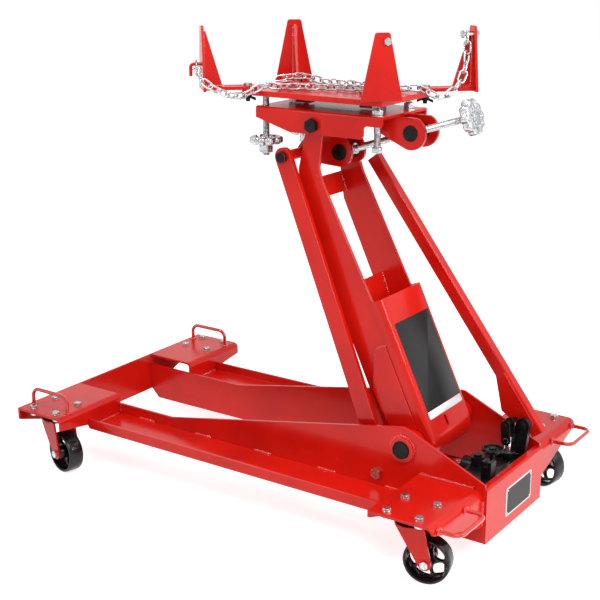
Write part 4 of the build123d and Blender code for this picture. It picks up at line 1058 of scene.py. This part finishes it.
def makeCoverPanel():
    low, high, band = coverPanel["low"], coverPanel["high"], coverPanel["band"]
    shape = (coverPanel["width"], coverPanel["corner"], coverPanel["thick"])
    field = tablet(high - low - band, *shape)
    moved(field, coverFace((low + band + high) / 2, coverPanel["y"]))
    addPiece("coverPanel", field, panel, "arm", "black_steel")
    strip = tablet(band - coverPanel["gap"], *shape)
    moved(strip, coverFace(low + band / 2, coverPanel["y"]))
    addPiece("coverBand", strip, foil, "arm", "zinc")


dataPlate = dict(
    y=0.019, z=0.0955, width=0.128, height=0.068, corner=0.005, thick=0.0007,
    border=0.004, fieldCorner=0.003, fieldRise=0.0003, rivetIn=0.0075, rivetSides=16,
    rivet=((0.0022, 0), (0.0022, 0.0009), (0.0017, 0.0015), (0.0006, 0.0018)),
)


def makeDataPlate():
    width, height, thick = dataPlate["width"], dataPlate["height"], dataPlate["thick"]
    border, rivetIn = dataPlate["border"], dataPlate["rivetIn"]
    back = Matrix(((0, 0, 1, jack["rearPlate"]), (1, 0, 0, dataPlate["y"]),
                   (0, 1, 0, dataPlate["z"]), (0, 0, 0, 1)))
    parts = [tablet(width, height, dataPlate["corner"], thick)]
    for i in (-1, 1):
        for j in (-1, 1):
            spot = (i * (width / 2 - rivetIn), j * (height / 2 - rivetIn), 0)
            dome = turned(dataPlate["rivet"], dataPlate["rivetSides"], crease=50)
            parts.append(moved(dome, Matrix.Translation(spot)))
    addPiece("dataPlate", moved(joined("dataPlate", parts), back), foil, "chassis", "zinc")
    field = tablet(width - 2 * border, height - 2 * border, dataPlate["fieldCorner"],
                   thick + dataPlate["fieldRise"])
    addPiece("dataField", moved(field, back), panel, "chassis", "black_steel")


shaftRing = dict(sides=48, profile=((0.0198, 0), (0.0198, 0.0006), (0.0190, 0.0011),
                                    (0.0172, 0.0011), (0.0164, 0.0002)))


def makeShaftRings():
    rings = []
    for s in (-1, 1):
        ring = turned(shaftRing["profile"], shaftRing["sides"], crease=50, capped=False)
        end = standing((jack["armX"], s * jack["shaftEnd"], jack["armZ"]), (0, s, 0))
        rings.append(moved(ring, end))
    addPiece("shaftRings", rings, black, "chassis", "black_steel")


gland = dict(x=0.517, y=0.062, sides=8, flats=0.0352, foot=0.0002, height=0.0124,
             chamfer=0.0016, bore=0.0095, boreLow=0.0092, lip=0.002)


def makeGland():
    corner = gland["flats"] / 2 / math.cos(math.pi / gland["sides"])
    height, chamfer = gland["height"], gland["chamfer"]
    profile = [(corner, gland["foot"]), (corner, height - chamfer), (corner - chamfer, height),
               (gland["bore"], height), (gland["boreLow"], height - gland["lip"])]
    mesh = turned(profile, gland["sides"], crease=20, capped=False)
    moved(mesh, Matrix.Translation((gland["x"], gland["y"], jack["blockTop"])))
    addPiece("glandNut", mesh, black, "chassis", "black_steel")


makeCoverPanel()
makeDataPlate()
makeShaftRings()
makeGland()
print("plates fixed")

# Studio: pale floor, white backdrop, soft lamps
studio = dict(floor=(0.93, 0.93, 0.93, 1), half=12.0, rough=0.9, diffuse=0.36, lift=0.75)


def lookedAt(tree):
    # 1 where the camera, a gloss or a clear surface looks straight at the backdrop
    path = addNode(tree, "ShaderNodeLightPath", output="Is Camera Ray")
    seen = path + path.other("Is Glossy Ray") + path.other("Is Transmission Ray")
    return seen.maths("MINIMUM", seen, 1.0)


def makeFloor():
    mesh = bpy.data.meshes.new("floor")
    half = studio["half"]
    square = [(-half, -half, 0), (half, -half, 0), (half, half, 0), (-half, half, 0)]
    mesh.from_pydata(square, [], [(0, 1, 2, 3)])
    floor = newObject("floor", mesh)
    fixed = {"Roughness": studio["rough"], "Base Color": studio["floor"],
             "Emission Strength": studio["lift"]}
    material, tree, shader, _ = newMaterial("paleFloor", fixed)
    glow = blendColours(tree, lookedAt(tree), (0, 0, 0, 1), (1, 1, 1, 1))
    glow.into(shader, "Emission Color")
    mesh.materials.append(material)


def makeBackdrop():
    world = bpy.data.worlds.new("studio")
    bpy.context.scene.world = world
    world.use_nodes = True
    tree = world.node_tree
    ground = tree.nodes["Background"]
    ground.inputs["Color"].default_value = (1, 1, 1, 1)
    lookedAt(tree).over(studio["diffuse"], 1.0).into(ground, "Strength")


lamps = dict(  # place, target, size, power
    key=((1.9, -1.6, 2.9), (0.0, 0.0, 0.45), 1.8, 56),
    rear=((2.6, 1.6, 2.2), (0.1, 0.0, 0.4), 1.6, 26),
    fill=((-2.6, -2.4, 1.6), (0.0, 0.0, 0.5), 2.2, 9),
    rightGlint=((2.6, 0.2, 1.4), (0.3, 0.1, 0.5), 0.35, 13),
    topGlint=((-0.87, -0.6, 2.84), (0.2, -0.1, 0.3), 0.35, 18),
    frontGlint=((-1.5, -2.3, 2.2), (0.0, 0.0, 0.4), 0.18, 5),
)


def aim(obj, place, target):
    obj.location = place
    obj.rotation_euler = (Vector(target) - Vector(place)).to_track_quat("-Z", "Y").to_euler()


def makeLamps():
    for name, (place, target, size, power) in lamps.items():
        data = bpy.data.lights.new(name, "AREA")
        data.size, data.energy = size, power
        aim(newObject(name, data), place, target)


view = dict(place=(1.6153, -2.3705, 1.3032), target=(-0.006, 0.0, 0.44927), lens=75.83, sensor=36.0)


def makeCamera():
    data = bpy.data.cameras.new("camera")
    data.sensor_fit, data.sensor_width, data.lens = "HORIZONTAL", view["sensor"], view["lens"]
    camera = newObject("camera", data)
    aim(camera, view["place"], view["target"])
    bpy.context.scene.camera = camera


makeFloor()
makeBackdrop()
makeLamps()
makeCamera()
bpy.context.scene.view_settings.view_transform = "Standard"
print("studio ready")
